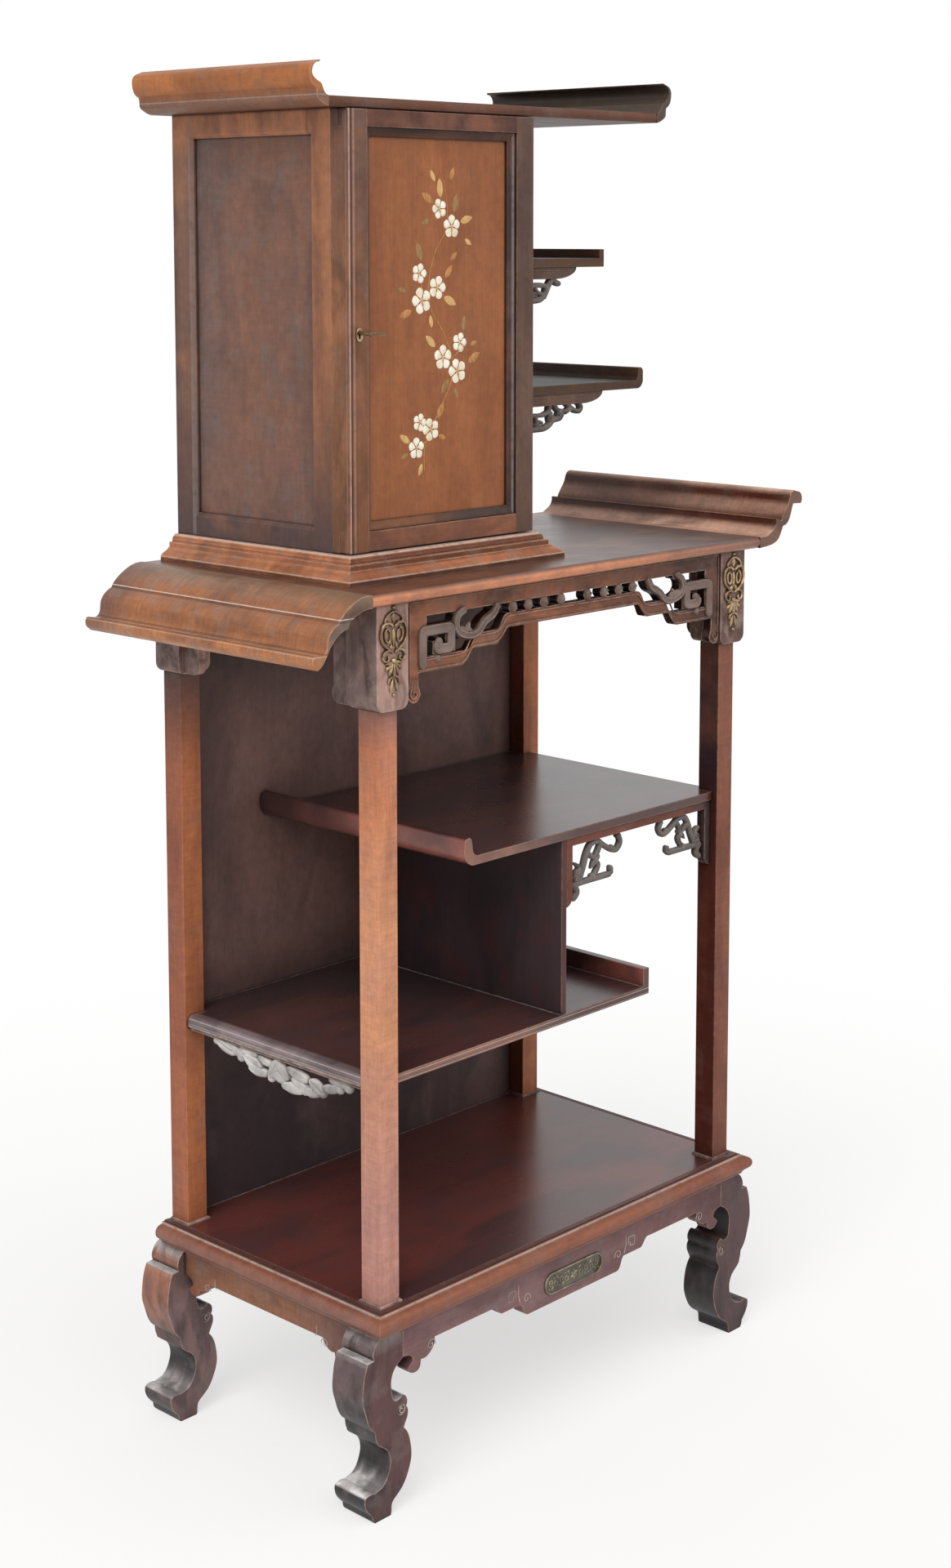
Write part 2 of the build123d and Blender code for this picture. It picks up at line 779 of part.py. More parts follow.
def side_panel(left_face):
    """The flat panel held in a side frame's rebate."""
    x0 = cabinet_left + panel_recess if left_face else cabinet_right - panel_recess
    x1 = x0 + side_panel_thickness if left_face else x0 - side_panel_thickness
    return block(min(x0, x1), max(x0, x1),
                 carcass_front + side_stile - panel_groove, cabinet_back - side_stile + panel_groove,
                 plinth_top + side_rail - panel_groove, cabinet_top - side_rail + panel_groove)


inner_left = cabinet_left + side_thickness
inner_right = cabinet_right - side_thickness
keep("cabinet_floor", block(inner_left, inner_right, carcass_front, cabinet_back - back_thickness,
                            plinth_top, plinth_top + floor_thickness))
keep("cabinet_back", block(inner_left, inner_right, cabinet_back - back_thickness, cabinet_back,
                           plinth_top, cabinet_top))
keep("cabinet_side_panels", together([side_panel(True), side_panel(False)]))

# ---- door -----------------------------------------------------------------------------------------
door_left = cabinet_left
door_right = cabinet_right
window_left = door_left + door_stile
window_right = door_right - door_stile
window_bottom = door_bottom + door_bottom_rail
window_top = door_top - door_top_rail
panel_face = door_front + door_panel_recess
hinge_x = door_right + hinge_knuckle_radius + 0.4
hinge_y = carcass_front - door_gap / 2
hinge_levels = (door_bottom + hinge_inset, door_top - hinge_inset - hinge_height)
key_x = door_left + key_inset
link_x = door_left + side_thickness / 2
lock_left = door_left + 2.0
lock_front = door_back - lock_depth
bolt_y = door_back - 7.0
link_z = door_middle + 9.0


def panel_rebate():
    """The step at the back of the door frame that takes the panel."""
    return block(window_left - panel_groove, window_right + panel_groove,
                 panel_face, door_back + 1,
                 window_bottom - panel_groove, window_top + panel_groove)


def hinge_leaf(is_fixed, low):
    """One leaf of a butt hinge with its knuckles: three on the carcass, two on the door."""
    if is_fixed:
        y0 = carcass_front
        y1 = carcass_front + hinge_leaf_thickness
    else:
        y0 = door_back - hinge_leaf_thickness
        y1 = door_back
    leaf = block(door_right - hinge_leaf_width, door_right, y0, y1, low, low + hinge_height)
    pitch = hinge_height / 5
    for number in range(5):
        if (number % 2 == 0) != is_fixed:
            continue
        z0 = low + number * pitch + (knuckle_gap / 2 if number else 0)
        z1 = low + (number + 1) * pitch - (knuckle_gap / 2 if number < 4 else 0)
        tongue = block(door_right - 1, hinge_x - hinge_knuckle_radius * 0.75, y0, y1, z0, z1)
        barrel = Pos(hinge_x, hinge_y, (z0 + z1) / 2) * Cylinder(hinge_knuckle_radius, z1 - z0)
        leaf += tongue + barrel
    bore = Pos(hinge_x, hinge_y, low + hinge_height / 2) * Cylinder(
        hinge_pin_radius + hinge_clearance, hinge_height + 2)
    return leaf - bore


def hinge_seat(is_fixed, low):
    """The shallow mortise that a hinge leaf lies in."""
    if is_fixed:
        return block(door_right - hinge_leaf_width, door_right + 1, carcass_front - 1,
                     carcass_front + hinge_leaf_thickness, low, low + hinge_height)
    return block(door_right - hinge_leaf_width, door_right + 1,
                 door_back - hinge_leaf_thickness, door_back + 1, low, low + hinge_height)


def hinge_pin(low):
    """A hinge pin with a small round cap above and below the knuckles."""
    pin = Pos(hinge_x, hinge_y, low + hinge_height / 2) * Cylinder(
        hinge_pin_radius, hinge_height + 2)
    for z in (low - 1, low + hinge_height + 1):
        pin += Pos(hinge_x, hinge_y, z) * Cylinder(hinge_pin_radius + 0.9, 1.4)
    return pin


fixed_seats = together([hinge_seat(True, level) for level in hinge_levels])
door_seats = together([hinge_seat(False, level) for level in hinge_levels])
keep("hinge_leaves_cabinet", together([hinge_leaf(True, level) for level in hinge_levels]))
keep("hinge_leaves_door", together([hinge_leaf(False, level) for level in hinge_levels]))
keep("hinge_pins", together([hinge_pin(level) for level in hinge_levels]))

# ---- lock -------------------------------------------------------------------------------------------
case_z0 = door_middle - lock_height / 2
case_z1 = door_middle + lock_height / 2


def keyhole(reach, front, back):
    """A round hole with a slot below it, wide enough for the key."""
    hole = Pos(key_x, (front + back) / 2, door_middle) * Rot(90, 0, 0) * Cylinder(
        key_shaft_radius + running_gap, back - front)
    slot = block(key_x - 1.5, key_x + 1.5, front, back, door_middle - reach, door_middle)
    return hole + slot


def lock_case():
    """The lock's case: a box let into the back of the door stile, slotted for the link."""
    outer = block(lock_left, lock_left + lock_width, lock_front, door_back, case_z0, case_z1)
    cavity = block(lock_left + lock_wall, lock_left + lock_width - lock_wall,
                   lock_front + lock_wall, door_back - lock_wall,
                   case_z0 + lock_wall, case_z1 - lock_wall)
    slot = block(link_x - link_width / 2 - 1, link_x + link_width / 2 + 1,
                 door_back - lock_wall - 1, door_back + 1,
                 link_z - 0.6, link_z + link_thickness + 0.6)
    bore = Pos(key_x, lock_front + lock_wall / 2, door_middle) * Rot(90, 0, 0) * Cylinder(
        key_shaft_radius + hinge_clearance, lock_wall + 2)
    key_slot = block(key_x - 1.5, key_x + 1.5, lock_front - 1, lock_front + lock_wall + 0.5,
                     door_middle - 7.2, door_middle)
    case = outer - cavity - slot - bore - key_slot
    guide_left = link_x + bolt_width / 2 + 0.3
    for z0 in (case_z0 + lock_wall, case_z1 - lock_wall - 5):
        case += block(guide_left, guide_left + 2, lock_front + lock_wall,
                      door_back - lock_wall, z0, z0 + 5)
    return case


def lock_bolt():
    """The sliding bolt, notched for the key's bit."""
    z0 = door_middle - 12.0
    bar = block(link_x - bolt_width / 2, link_x + bolt_width / 2, bolt_y - bolt_thickness / 2,
                bolt_y + bolt_thickness / 2, z0, z0 + bolt_length)
    notch = block(link_x + bolt_width / 2 - 3.2, link_x + bolt_width / 2 + 1,
                  bolt_y - bolt_thickness, bolt_y + bolt_thickness,
                  door_middle - 4 - 2.1, door_middle - 4 + 2.1)
    return bar - notch


def lock_keeper():
    """The plate on the carcass edge whose link enters the lock when the door is shut."""
    plate = block(link_x - 6, link_x + 6, carcass_front, carcass_front + 1.5,
                  link_z - 18, link_z + 20)
    arm = block(link_x - link_width / 2, link_x + link_width / 2, door_back - 11,
                carcass_front + 1, link_z, link_z + link_thickness)
    eye = block(link_x - bolt_width / 2 - running_gap, link_x + bolt_width / 2 + running_gap,
                bolt_y - bolt_thickness / 2 - running_gap, bolt_y + bolt_thickness / 2 + running_gap,
                link_z - 1, link_z + link_thickness + 1)
    return plate + arm - eye


def key():
    """The key: shaft, collar, oval bow lying level, and a bit that moves the bolt."""
    tip = bolt_y + bolt_thickness / 2
    outer = door_front - key_reach
    bow_length = 17.0
    shaft = Pos(key_x, (outer + bow_length + tip) / 2, door_middle) * Rot(90, 0, 0) * Cylinder(
        key_shaft_radius, tip - outer - bow_length)
    collar = Pos(key_x, outer + bow_length + 1, door_middle) * Rot(90, 0, 0) * Cylinder(
        key_shaft_radius + 1, 3)
    bow_face = Pos(key_x, outer + bow_length / 2) * (Ellipse(10.5, bow_length / 2)
                                                     - Ellipse(7.5, bow_length / 2 - 3))
    bow = Pos(0, 0, door_middle - 1.5) * extrude(bow_face, amount=3, dir=(0, 0, 1))
    bit = Pos(key_x, bolt_y, door_middle) * Rot(0, -45, 0) * Pos(-3.25, 0, 0) * Box(
        6.5, bolt_thickness, 2)
    return shaft + collar + bow + bit


lock_mortise = block(lock_left, lock_left + lock_width, lock_front, door_back + 1,
                     case_z0, case_z1)
keeper_mortise = block(link_x - 6, link_x + 6, carcass_front - 1, carcass_front + 1.5,
                       link_z - 18, link_z + 20)
keep("lock_case", lock_case())
keep("lock_bolt", lock_bolt())
keep("lock_keeper", lock_keeper())
keep("key", key())
escutcheon_face = Pos(key_x, door_middle - 2) * Ellipse(5.5, 8.5)
escutcheon = through_y(escutcheon_face, door_front - 1.2, door_front)
keep("escutcheon", escutcheon - keyhole(7.2, door_front - 3, door_front + 1))

keep("cabinet_side_left", cabinet_side(True) - keeper_mortise)
keep("cabinet_side_right", cabinet_side(False) - fixed_seats)


def tenon(side, z0, z1):
    """A rail's tenon, through the left (-1) or right (1) stile."""
    x0 = door_left if side < 0 else window_right
    x1 = window_left if side < 0 else door_right
    back = door_back - tenon_from_back
    return block(x0, x1, back - tenon_thickness, back, z0, z1)


def beaded_corner():
    """The plan of the lock stile: a bead between two quirks and round shoulders on its front corner."""
    def at(right, back):
        return (door_left + right, door_front + back)

    centre = corner_bead_radius + 0.1
    rim = corner_bead_radius * math.sqrt(0.5)
    quirk = 2 * corner_bead_radius + 0.6
    return outline(
        at(0, door_thickness), [at(door_stile, door_thickness)], [at(door_stile, 0)],
        [at(corner_shoulder, 0)],
        [at((corner_shoulder + quirk) / 2, corner_quirk / 4), at(quirk, corner_quirk)],
        [at(centre + rim, centre - rim)],
        [at(centre - rim, centre - rim), at(centre - rim, centre + rim)],
        [at(corner_quirk, quirk)],
        [at(corner_quirk / 4, (corner_shoulder + quirk) / 2), at(0, corner_shoulder)])


tenons = together([tenon(side, z0, z1) for side in (-1, 1)
                   for z0, z1 in ((door_bottom, window_bottom), (window_top, door_top))])


def door_rail(z0, z1):
    """A door rail between the stiles, rebated for the panel, with a through tenon at each end."""
    rail = block(window_left, window_right, door_front, door_back, z0, z1)
    for side in (-1, 1):
        rail += tenon(side, z0, z1)
    return rail - panel_rebate()


lock_stile = Pos(0, 0, door_bottom) * extrude(beaded_corner(), amount=door_top - door_bottom)
lock_stile = lock_stile - panel_rebate() - tenons - lock_mortise
lock_stile -= keyhole(7.2, door_front - 1, lock_front + 1)
hinge_stile = block(window_right, door_right, door_front, door_back, door_bottom, door_top)
keep("door_stile_left", lock_stile)
keep("door_stile_right", hinge_stile - panel_rebate() - tenons - door_seats)
keep("door_rail_top", door_rail(window_top, door_top))
keep("door_rail_bottom", door_rail(door_bottom, window_bottom))
keep("door_panel", block(window_left - panel_groove, window_right + panel_groove,
                         panel_face, panel_face + door_panel_thickness,
                         window_bottom - panel_groove, window_top + panel_groove))


def door_moulding():
    """The dark sloping moulding round the panel, mitred at the corners."""
    wide = door_moulding_width
    front = door_front + 2.5
    outer = block(window_left, window_right, front, panel_face, window_bottom, window_top)
    inner = block(window_left + wide, window_right - wide, front - 1, panel_face + 1,
                  window_bottom + wide, window_top - wide)
    across = (window_left + window_right) / 2
    middle = (window_bottom + window_top) / 2
    big = Rectangle(window_right - window_left - 6, window_top - window_bottom - 6)
    small = Rectangle(window_right - window_left - 2 * wide, window_top - window_bottom - 2 * wide)
    slope = loft([Plane((across, front, middle), x_dir=(1, 0, 0), z_dir=(0, 1, 0)) * big,
                  Plane((across, panel_face - 3, middle), x_dir=(1, 0, 0), z_dir=(0, 1, 0)) * small])
    return outer - inner - slope


keep("door_moulding", door_moulding())


def blossom(size):
    """A flower of five round petals about a button."""
    face = Circle(size * 0.4)
    for number in range(5):
        turn = math.radians(90 + 72 * number)
        face += Pos(size * 0.56 * math.cos(turn), size * 0.56 * math.sin(turn)) * Circle(size * 0.44)
    return face


def leaf(length):
    """A pointed leaf."""
    return outline((0, 0), [(length / 2, length * 0.2), (length, 0)],
                   [(length / 2, -length * 0.2), (0, 0)])


blossoms = ((-40, 96, 13), (-14, 118, 14), (-34, 128, 11), (34, 190, 15), (8, 208, 15), (38, 226, 12),
            (-30, 280, 16), (-2, 296, 14), (-34, 314, 12), (24, 372, 14), (2, 394, 12))
leaves = ((-2, 132, 22, 60), (-52, 104, 20, 150), (18, 180, 22, 235), (54, 200, 24, 30),
          (-6, 222, 22, 140), (44, 240, 20, 80), (-48, 268, 22, 200), (10, 284, 24, -25),
          (-30, 330, 24, 110), (12, 308, 20, 50), (40, 378, 22, 15), (28, 390, 24, 75),
          (-10, 402, 22, 150), (4, 408, 24, 95))


def door_inlay():
    """A spray of bone blossoms and leaves standing just proud of the door panel."""
    across = (window_left + window_right) / 2
    tall = (window_top - window_bottom) / 491.0
    faces = []
    for x, z, size in blossoms:
        faces.append(Pos(across + x, window_bottom + z * tall) * blossom(size))
    for x, z, length, turn in leaves:
        faces.append(Pos(across + x, window_bottom + z * tall) * Rot(0, 0, turn) * leaf(length))
    return together([through_y(face, panel_face - inlay_thickness, panel_face) for face in faces])


keep("door_inlay", door_inlay())

# ---- roof ------------------------------------------------------------------------------------------------
roof_left = cabinet_left - roof_left_overhang
roof_right = roof_right_reach
keep("roof_board", rounded_board(roof_left, roof_right, door_front, console_back,
                                 cabinet_top, roof_top, 2.5))


def roof_scroll():
    """The right end of the roof: a thin lip curling up and outwards."""
    low = cabinet_top
    far = roof_scroll_reach / 30.0
    rise = roof_scroll_height / 41.0
    thick = roof_thickness

    def at(out, up):
        return (roof_right + out * far, low + thick + up * rise)

    face = outline(
        at(0, -thick), [at(6, -thick + 1.5), at(13, -thick + 5), at(18, -4), at(19, 3), at(20, 8)],
        [at(28, 15), at(30, 22), at(30, 30), at(24, 37)], [at(13, 41)], [at(15, 38)],
        [at(23, 35), at(25.5, 31), at(26, 24), at(23, 20), at(12, 14)],
        [at(9, 8), at(6, 3), at(0, 0)])
    return through_y(face, door_front, console_back)


right_scroll = roof_scroll()
keep("roof_scroll_right", right_scroll)
roof_middle = (roof_left + roof_right) / 2
keep("roof_scroll_left", Pos(2 * roof_middle, 0, 0) * flip_x(right_scroll))

# ---- side shelves ------------------------------------------------------------------------------------------
side_shelf_front = carcass_front + side_shelf_setback


def side_shelf(level, reach, square):
    """A shelf standing out from the cupboard's right side, with a lip at its free end."""
    top = plinth_top + level
    low = top - side_shelf_thickness
    left = cabinet_right
    right = left + reach
    if square:
        face = outline((left, low), [(right, low)], [(right, top + 12)], [(right - 9, top + 12)],
                       [(right - 9, top)], [(left, top)])
    else:
        face = outline((left, low), [(right - 14, low)],
                       [(right - 4, low + 3), (right, low + 14)], [(right, top + 10)],
                       [(right - 4, top + 17), (right - 10, top + 16)],
                       [(right - 11, top + 6)], [(right - 13, top + 1), (right - 20, top)],
                       [(left, top)])
    return through_y(face, side_shelf_front, cabinet_back)


def side_console(level, reach, curls):
    """The bracket under a side shelf's front edge: a quarter-round board and pierced scrolls."""
    top = plinth_top + level - side_shelf_thickness
    left = cabinet_right
    end = left + reach
    round_width = 42.0
    low = top - side_console_height
    board = outline((left, top), [(end, top)],
                    [(end - 5, top - 7), (end - 18, top - 12.5), (end - round_width, low)],
                    [(left, low)])

    def at(out, down):
        return (left + out, low - down)

    face = board
    for width, points in curls:
        face += ribbon(width, *[at(*point) for point in points])
    room = outline((left, top), [(end, top)], [(end, top - 80)], [(left, top - 80)])
    return through_y(face & room, side_shelf_front + 2, side_shelf_front + 2 + side_console_thickness)


upper_curls = (
    (8, ((92, -2), (97, 5), (105, 7))),
    (9, ((90, -1), (82, 9), (75, 20), (64, 27), (46, 28), (26, 28), (4, 27))),
    (7, ((80, 10), (68, 8), (54, 8), (40, 10), (22, 8), (4, 10))),
    (6, ((54, 10), (60, 17), (70, 20))),
    (6, ((22, 9), (26, 18), (20, 27))),
)
lower_curls = (
    (7, ((142, -2), (149, 4), (146, 10), (137, 9), (126, 3), (117, -2))),
    (7, ((128, 4), (119, 9), (110, 9), (101, 6), (93, -2))),
    (8, ((112, 9), (107, 17), (98, 19), (86, 20))),
    (8, ((96, 15), (86, 25), (74, 30), (58, 31), (38, 31), (20, 31), (4, 30))),
    (7, ((86, -2), (84, 8), (90, 16))),
    (6, ((84, 8), (72, 12), (58, 12), (44, 12), (24, 11), (4, 12))),
    (6, ((58, 12), (58, 22), (66, 29))),
    (6, ((28, 11), (30, 22), (24, 30))),
    (6, ((46, -2), (44, 6), (38, 12))),
)
keep("side_shelf_upper", side_shelf(upper_side_shelf_level, upper_side_shelf_reach, True))
keep("side_shelf_lower", side_shelf(lower_side_shelf_level, lower_side_shelf_reach, False))
keep("side_console_upper", side_console(upper_side_shelf_level, upper_console_reach, upper_curls))
keep("side_console_lower", side_console(lower_side_shelf_level, lower_console_reach, lower_curls))

# ---- write ---------------------------------------------------------------------------------------------------
os.makedirs("parts", exist_ok=True)
for name, piece in pieces.items():
    export_step(piece, "parts/" + name + ".step")
print(len(pieces), "pieces")
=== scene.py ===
import math

import bmesh
import bpy
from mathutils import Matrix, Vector


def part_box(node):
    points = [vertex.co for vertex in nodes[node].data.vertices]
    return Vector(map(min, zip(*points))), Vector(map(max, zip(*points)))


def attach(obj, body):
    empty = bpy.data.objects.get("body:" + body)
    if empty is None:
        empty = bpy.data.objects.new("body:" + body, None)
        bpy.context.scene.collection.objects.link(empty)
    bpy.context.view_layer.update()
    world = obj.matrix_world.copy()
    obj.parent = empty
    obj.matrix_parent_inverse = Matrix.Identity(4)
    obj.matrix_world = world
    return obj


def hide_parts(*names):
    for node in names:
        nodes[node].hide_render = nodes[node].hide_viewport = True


# Looks of the display cabinet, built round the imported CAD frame. The frame and the finishes are
# in metres, carving is drawn in millimetres on the face that it lies on, and MM joins the two.

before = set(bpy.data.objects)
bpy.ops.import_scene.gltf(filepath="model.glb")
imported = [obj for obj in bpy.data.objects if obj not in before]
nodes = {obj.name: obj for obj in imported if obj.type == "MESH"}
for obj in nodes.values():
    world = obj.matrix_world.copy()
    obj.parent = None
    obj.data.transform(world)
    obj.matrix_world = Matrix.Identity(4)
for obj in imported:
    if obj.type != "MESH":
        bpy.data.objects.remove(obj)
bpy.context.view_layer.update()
MM = 0.001


# ---- colours and node graphs ----
def srgb(red, green, blue):
    """A colour written as 0 to 255 screen values, as the linear colour that shaders take."""
    linear = []
    for value in (red, green, blue):
        share = value / 255
        linear.append(share / 12.92 if share <= 0.04045 else ((share + 0.055) / 1.055) ** 2.4)
    return (*linear, 1.0)


def seen(red, green, blue, sheen=0.016):
    """The stain that looks like this colour once the pale sheen of the polish lies over it."""
    light = 1.06
    return (*(max((value - sheen) / light, 0.002) for value in srgb(red, green, blue)[:3]), 1.0)


def shaded(red, green, blue):
    """The same for wood inside the bays, where the polish has little to reflect."""
    return seen(red, green, blue, sheen=-0.004)


def scaled(colour, share):
    """A colour made darker or lighter."""
    return (colour[0] * share, colour[1] * share, colour[2] * share, 1.0)


WHITE = (1.0, 1.0, 1.0, 1.0)
DUST = srgb(176, 166, 160)
FILM = srgb(112, 94, 86)
# Pale of worn arrises, also painted as the highlight that runs along them.
WORN_HIGHLIT_EDGE = srgb(206, 166, 142)

# How fine wood's grain is, along it and across it, and how fine its wear is. These are scales of
# noise: 1 over a size in metres.
BANDS = (1.6, 30)
STREAKS = (8, 240)
PORES = (70, 1500)
RIPPLES = (260, 26)
RUBBING = 95
SPECKS = 90

# A face looks to the left or the front by the first of these shares not at all, by the second fully.
SIDEWAYS = (-0.5, -0.8)

# How far wood's masks look round a place: into a seam, for its painted shade and dust; into a bay, for the
# painted shade there; and along an arris, for its wear and painted highlight.
SEAM = 6 * MM
BAY = 100 * MM
ARRIS = 1.9 * MM


class Graph:
    """Short words for the nodes of one material or of the world."""

    def __init__(self, owner, shader="Principled BSDF"):
        owner.use_nodes = True
        self.owner = owner
        self.tree = owner.node_tree
        self.shader = self.tree.nodes[shader]

    def feed(self, socket, value):
        """Gives a socket its value: a constant, or a link from another node's socket."""
        if isinstance(value, bpy.types.NodeSocket):
            self.tree.links.new(value, socket)
        else:
            socket.default_value = value

    def set(self, **sockets):
        """Feeds the main shader's sockets, with _ for the spaces in their names."""
        for name, value in sockets.items():
            self.feed(self.shader.inputs[name.replace("_", " ")], value)

    def add(self, kind, **inputs):
        node = self.tree.nodes.new("ShaderNode" + kind)
        for name, value in inputs.items():
            self.feed(node.inputs[name], value)
        return node

    def place(self):
        """The place on the object, in metres."""
        return self.add("TexCoord").outputs["Object"]

    def position(self, axis):
        """Metres along one axis of the object."""
        return self.add("SeparateXYZ", Vector=self.place()).outputs[axis]

    def facing(self):
        """The outputs X, Y and Z of the way that a face looks."""
        return self.add("SeparateXYZ", Vector=self.add("NewGeometry").outputs["Normal"]).outputs

    def upward(self):
        """1 on faces that look up, 0 on upright ones and undersides."""
        return self.spread(self.facing()["Z"], 0.35, 0.92)

    def stretch(self, scale, offset=(0, 0, 0)):
        """The place on the object, scaled by one number or by one number for each axis."""
        scales = scale if isinstance(scale, (list, tuple)) else (scale,) * 3
        return self.add("Mapping", Vector=self.place(), Scale=scales, Location=offset).outputs["Vector"]

    def noise(self, scale, offset=(0, 0, 0), detail=3.0, distortion=0.0, roughness=0.5):
        """Clouds over the object, about 0.5; the scale is 1 over the clouds' size in metres."""
        node = self.add("TexNoise", Vector=self.stretch(scale, offset), Scale=1.0, Detail=detail,
                        Distortion=distortion, Roughness=roughness)
        return node.outputs["Fac"]

    def maths(self, operation, first, second=0.0, clamp=False):
        node = self.add("Math")
        node.operation = operation
        node.use_clamp = clamp
        self.feed(node.inputs[0], first)
        self.feed(node.inputs[1], second)
        return node.outputs[0]

    def times(self, first, second):
        return self.maths("MULTIPLY", first, second)

    def spread(self, value, low, high, to_low=0.0, to_high=1.0):
        """A value moved from one range to another, and held at its ends."""
        node = self.add("MapRange", Value=value)
        for name, number in (("From Min", low), ("From Max", high),
                             ("To Min", to_low), ("To Max", to_high)):
            node.inputs[name].default_value = number
        return node.outputs["Result"]

    def ramp(self, value, *stops):
        """A colour ramp through (position, colour) stops."""
        node = self.add("ValToRGB", Fac=value)
        elements = node.color_ramp.elements
        while len(elements) < len(stops):
            elements.new(0.5)
        for element, (position, colour) in zip(elements, stops):
            element.position = position
            element.color = colour
        return node.outputs["Color"]

    def mix(self, factor, first, second, blend="MIX"):
        """The first colour at factor 0, the second one at factor 1."""
        node = self.add("Mix")
        node.data_type = "RGBA"
        node.blend_type = blend
        self.feed(node.inputs[0], factor)
        self.feed(node.inputs[6], first)
        self.feed(node.inputs[7], second)
        return node.outputs[2]

    def hollows(self, reach):
        """0 on open faces, towards 1 in inner corners within a reach."""
        node = self.add("AmbientOcclusion", Distance=reach)
        node.samples = 6
        return self.maths("SUBTRACT", 1.0, node.outputs["AO"])

    def arrises(self, radius):
        """Above 0 along edges, within a radius."""
        soft = self.add("Bevel", Radius=radius)
        soft.samples = 4
        turn = self.add("VectorMath")
        turn.operation = "DOT_PRODUCT"
        self.feed(turn.inputs[0], soft.outputs["Normal"])
        self.feed(turn.inputs[1], self.add("NewGeometry").outputs["Normal"])
        return self.spread(turn.outputs["Value"], 0.99, 0.84)

    def looked_at(self):
        """1 for rays that show the thing itself, straight, in gloss or through glass; else 0."""
        path = self.add("LightPath").outputs
        shown = self.maths("MAXIMUM", path["Is Camera Ray"], path["Is Glossy Ray"])
        return self.maths("MAXIMUM", shown, path["Is Transmission Ray"])

    def bump(self, height, strength, distance):
        node = self.add("Bump", Height=height, Strength=strength, Distance=distance)
        self.set(Normal=node.outputs["Normal"])


def new_material(name):
    """The node graph of a new material."""
    return Graph(bpy.data.materials.new(name))


# ---- kinds of finish ----
def dress(material, rounding, *names):
    """Gives CAD nodes their finish and takes the sharpness off their edges, if rounding isn't 0."""
    for name in names:
        node = nodes[name]
        mesh = node.data
        mesh.materials.clear()
        mesh.materials.append(material)
        if "custom_normal" in mesh.attributes:
            mesh.attributes.remove(mesh.attributes["custom_normal"])
        if not rounding:
            continue
        mesh.polygons.foreach_set("use_smooth", [True] * len(mesh.polygons))
        weld = node.modifiers.new("weld", "WELD")
        weld.merge_threshold = 0.005 * MM
        flat = node.modifiers.new("flat", "DECIMATE")
        flat.decimate_type = "DISSOLVE"
        flat.angle_limit = math.radians(0.3)
        bevel = node.modifiers.new("round", "BEVEL")
        bevel.width = rounding * MM
        bevel.segments = 3
        bevel.limit_method = "ANGLE"
        bevel.angle_limit = math.radians(38)
        bevel.use_clamp_overlap = True
        shade = node.modifiers.new("shade", "WEIGHTED_NORMAL")
        shade.keep_sharp = True


def along(axis, run, cross):
    """A scale that is small along the grain's axis and large across it."""
    scale = [cross, cross, cross]
    scale["XYZ".index(axis)] = run
    return scale


def face_light_and_fades(graph, tone, top, left, front, fades):
    """The colour by the way that a face looks, which paints the light and shade on faces that look up, left
    or front, and its changes along the piece.
    """
    def tinted(choice):
        if len(choice) == 4:
            return choice
        axis, low, high, first, last = choice
        return graph.mix(graph.spread(graph.position(axis), low, high), first, last)

    looks = graph.facing()
    colour = tone
    if left:
        colour = graph.mix(graph.spread(looks["X"], *SIDEWAYS), colour, tinted(left))
    if front:
        colour = graph.mix(graph.spread(looks["Y"], *SIDEWAYS), colour, tinted(front))
    if top:
        colour = graph.mix(graph.upward(), colour, tinted(top))
    for axis, low, high, other in fades:
        colour = graph.mix(graph.spread(graph.position(axis), low, high), colour, other)
    return colour


def grained(graph, axis, offset, streaks, rub, grain, ripple, pitted):
    """How much lighter or darker than 1 the grain and the rubbing make each place."""
    bands = graph.noise(along(axis, *BANDS), offset, detail=4, distortion=0.6)
    shade = graph.maths("ADD", graph.spread(bands, 0.3, 0.7, 0.5 - grain, 0.5 + grain),
                        graph.spread(streaks, 0.3, 0.7, 0.5 - grain * 0.6, 0.5 + grain * 0.6))
    if ripple:
        short = graph.noise(along(axis, *RIPPLES), offset, detail=3, distortion=0.5)
        shade = graph.times(shade, graph.spread(short, 0.34, 0.66, 1 - ripple, 1 + ripple))
    mottle = 0.03 + 0.23 * pitted
    return graph.times(shade, graph.spread(rub, 0.32, 0.68, 1 - mottle, 1 + mottle))


def lined(graph, colour, lines, rub):
    """A colour with thin painted lines of light and shade, and of dust, along the piece, fainter where it
    is rubbed.
    """
    for axis, low, high, other, strength in lines:
        off = graph.maths("ABSOLUTE", graph.maths("SUBTRACT", graph.position(axis), (low + high) / 2))
        near = graph.spread(off, (high - low) * 0.65, (high - low) * 0.35, 0.0, strength)
        colour = graph.mix(graph.times(near, graph.spread(rub, 0.3, 0.5, 0.5, 1.0)), colour, other)
    return colour


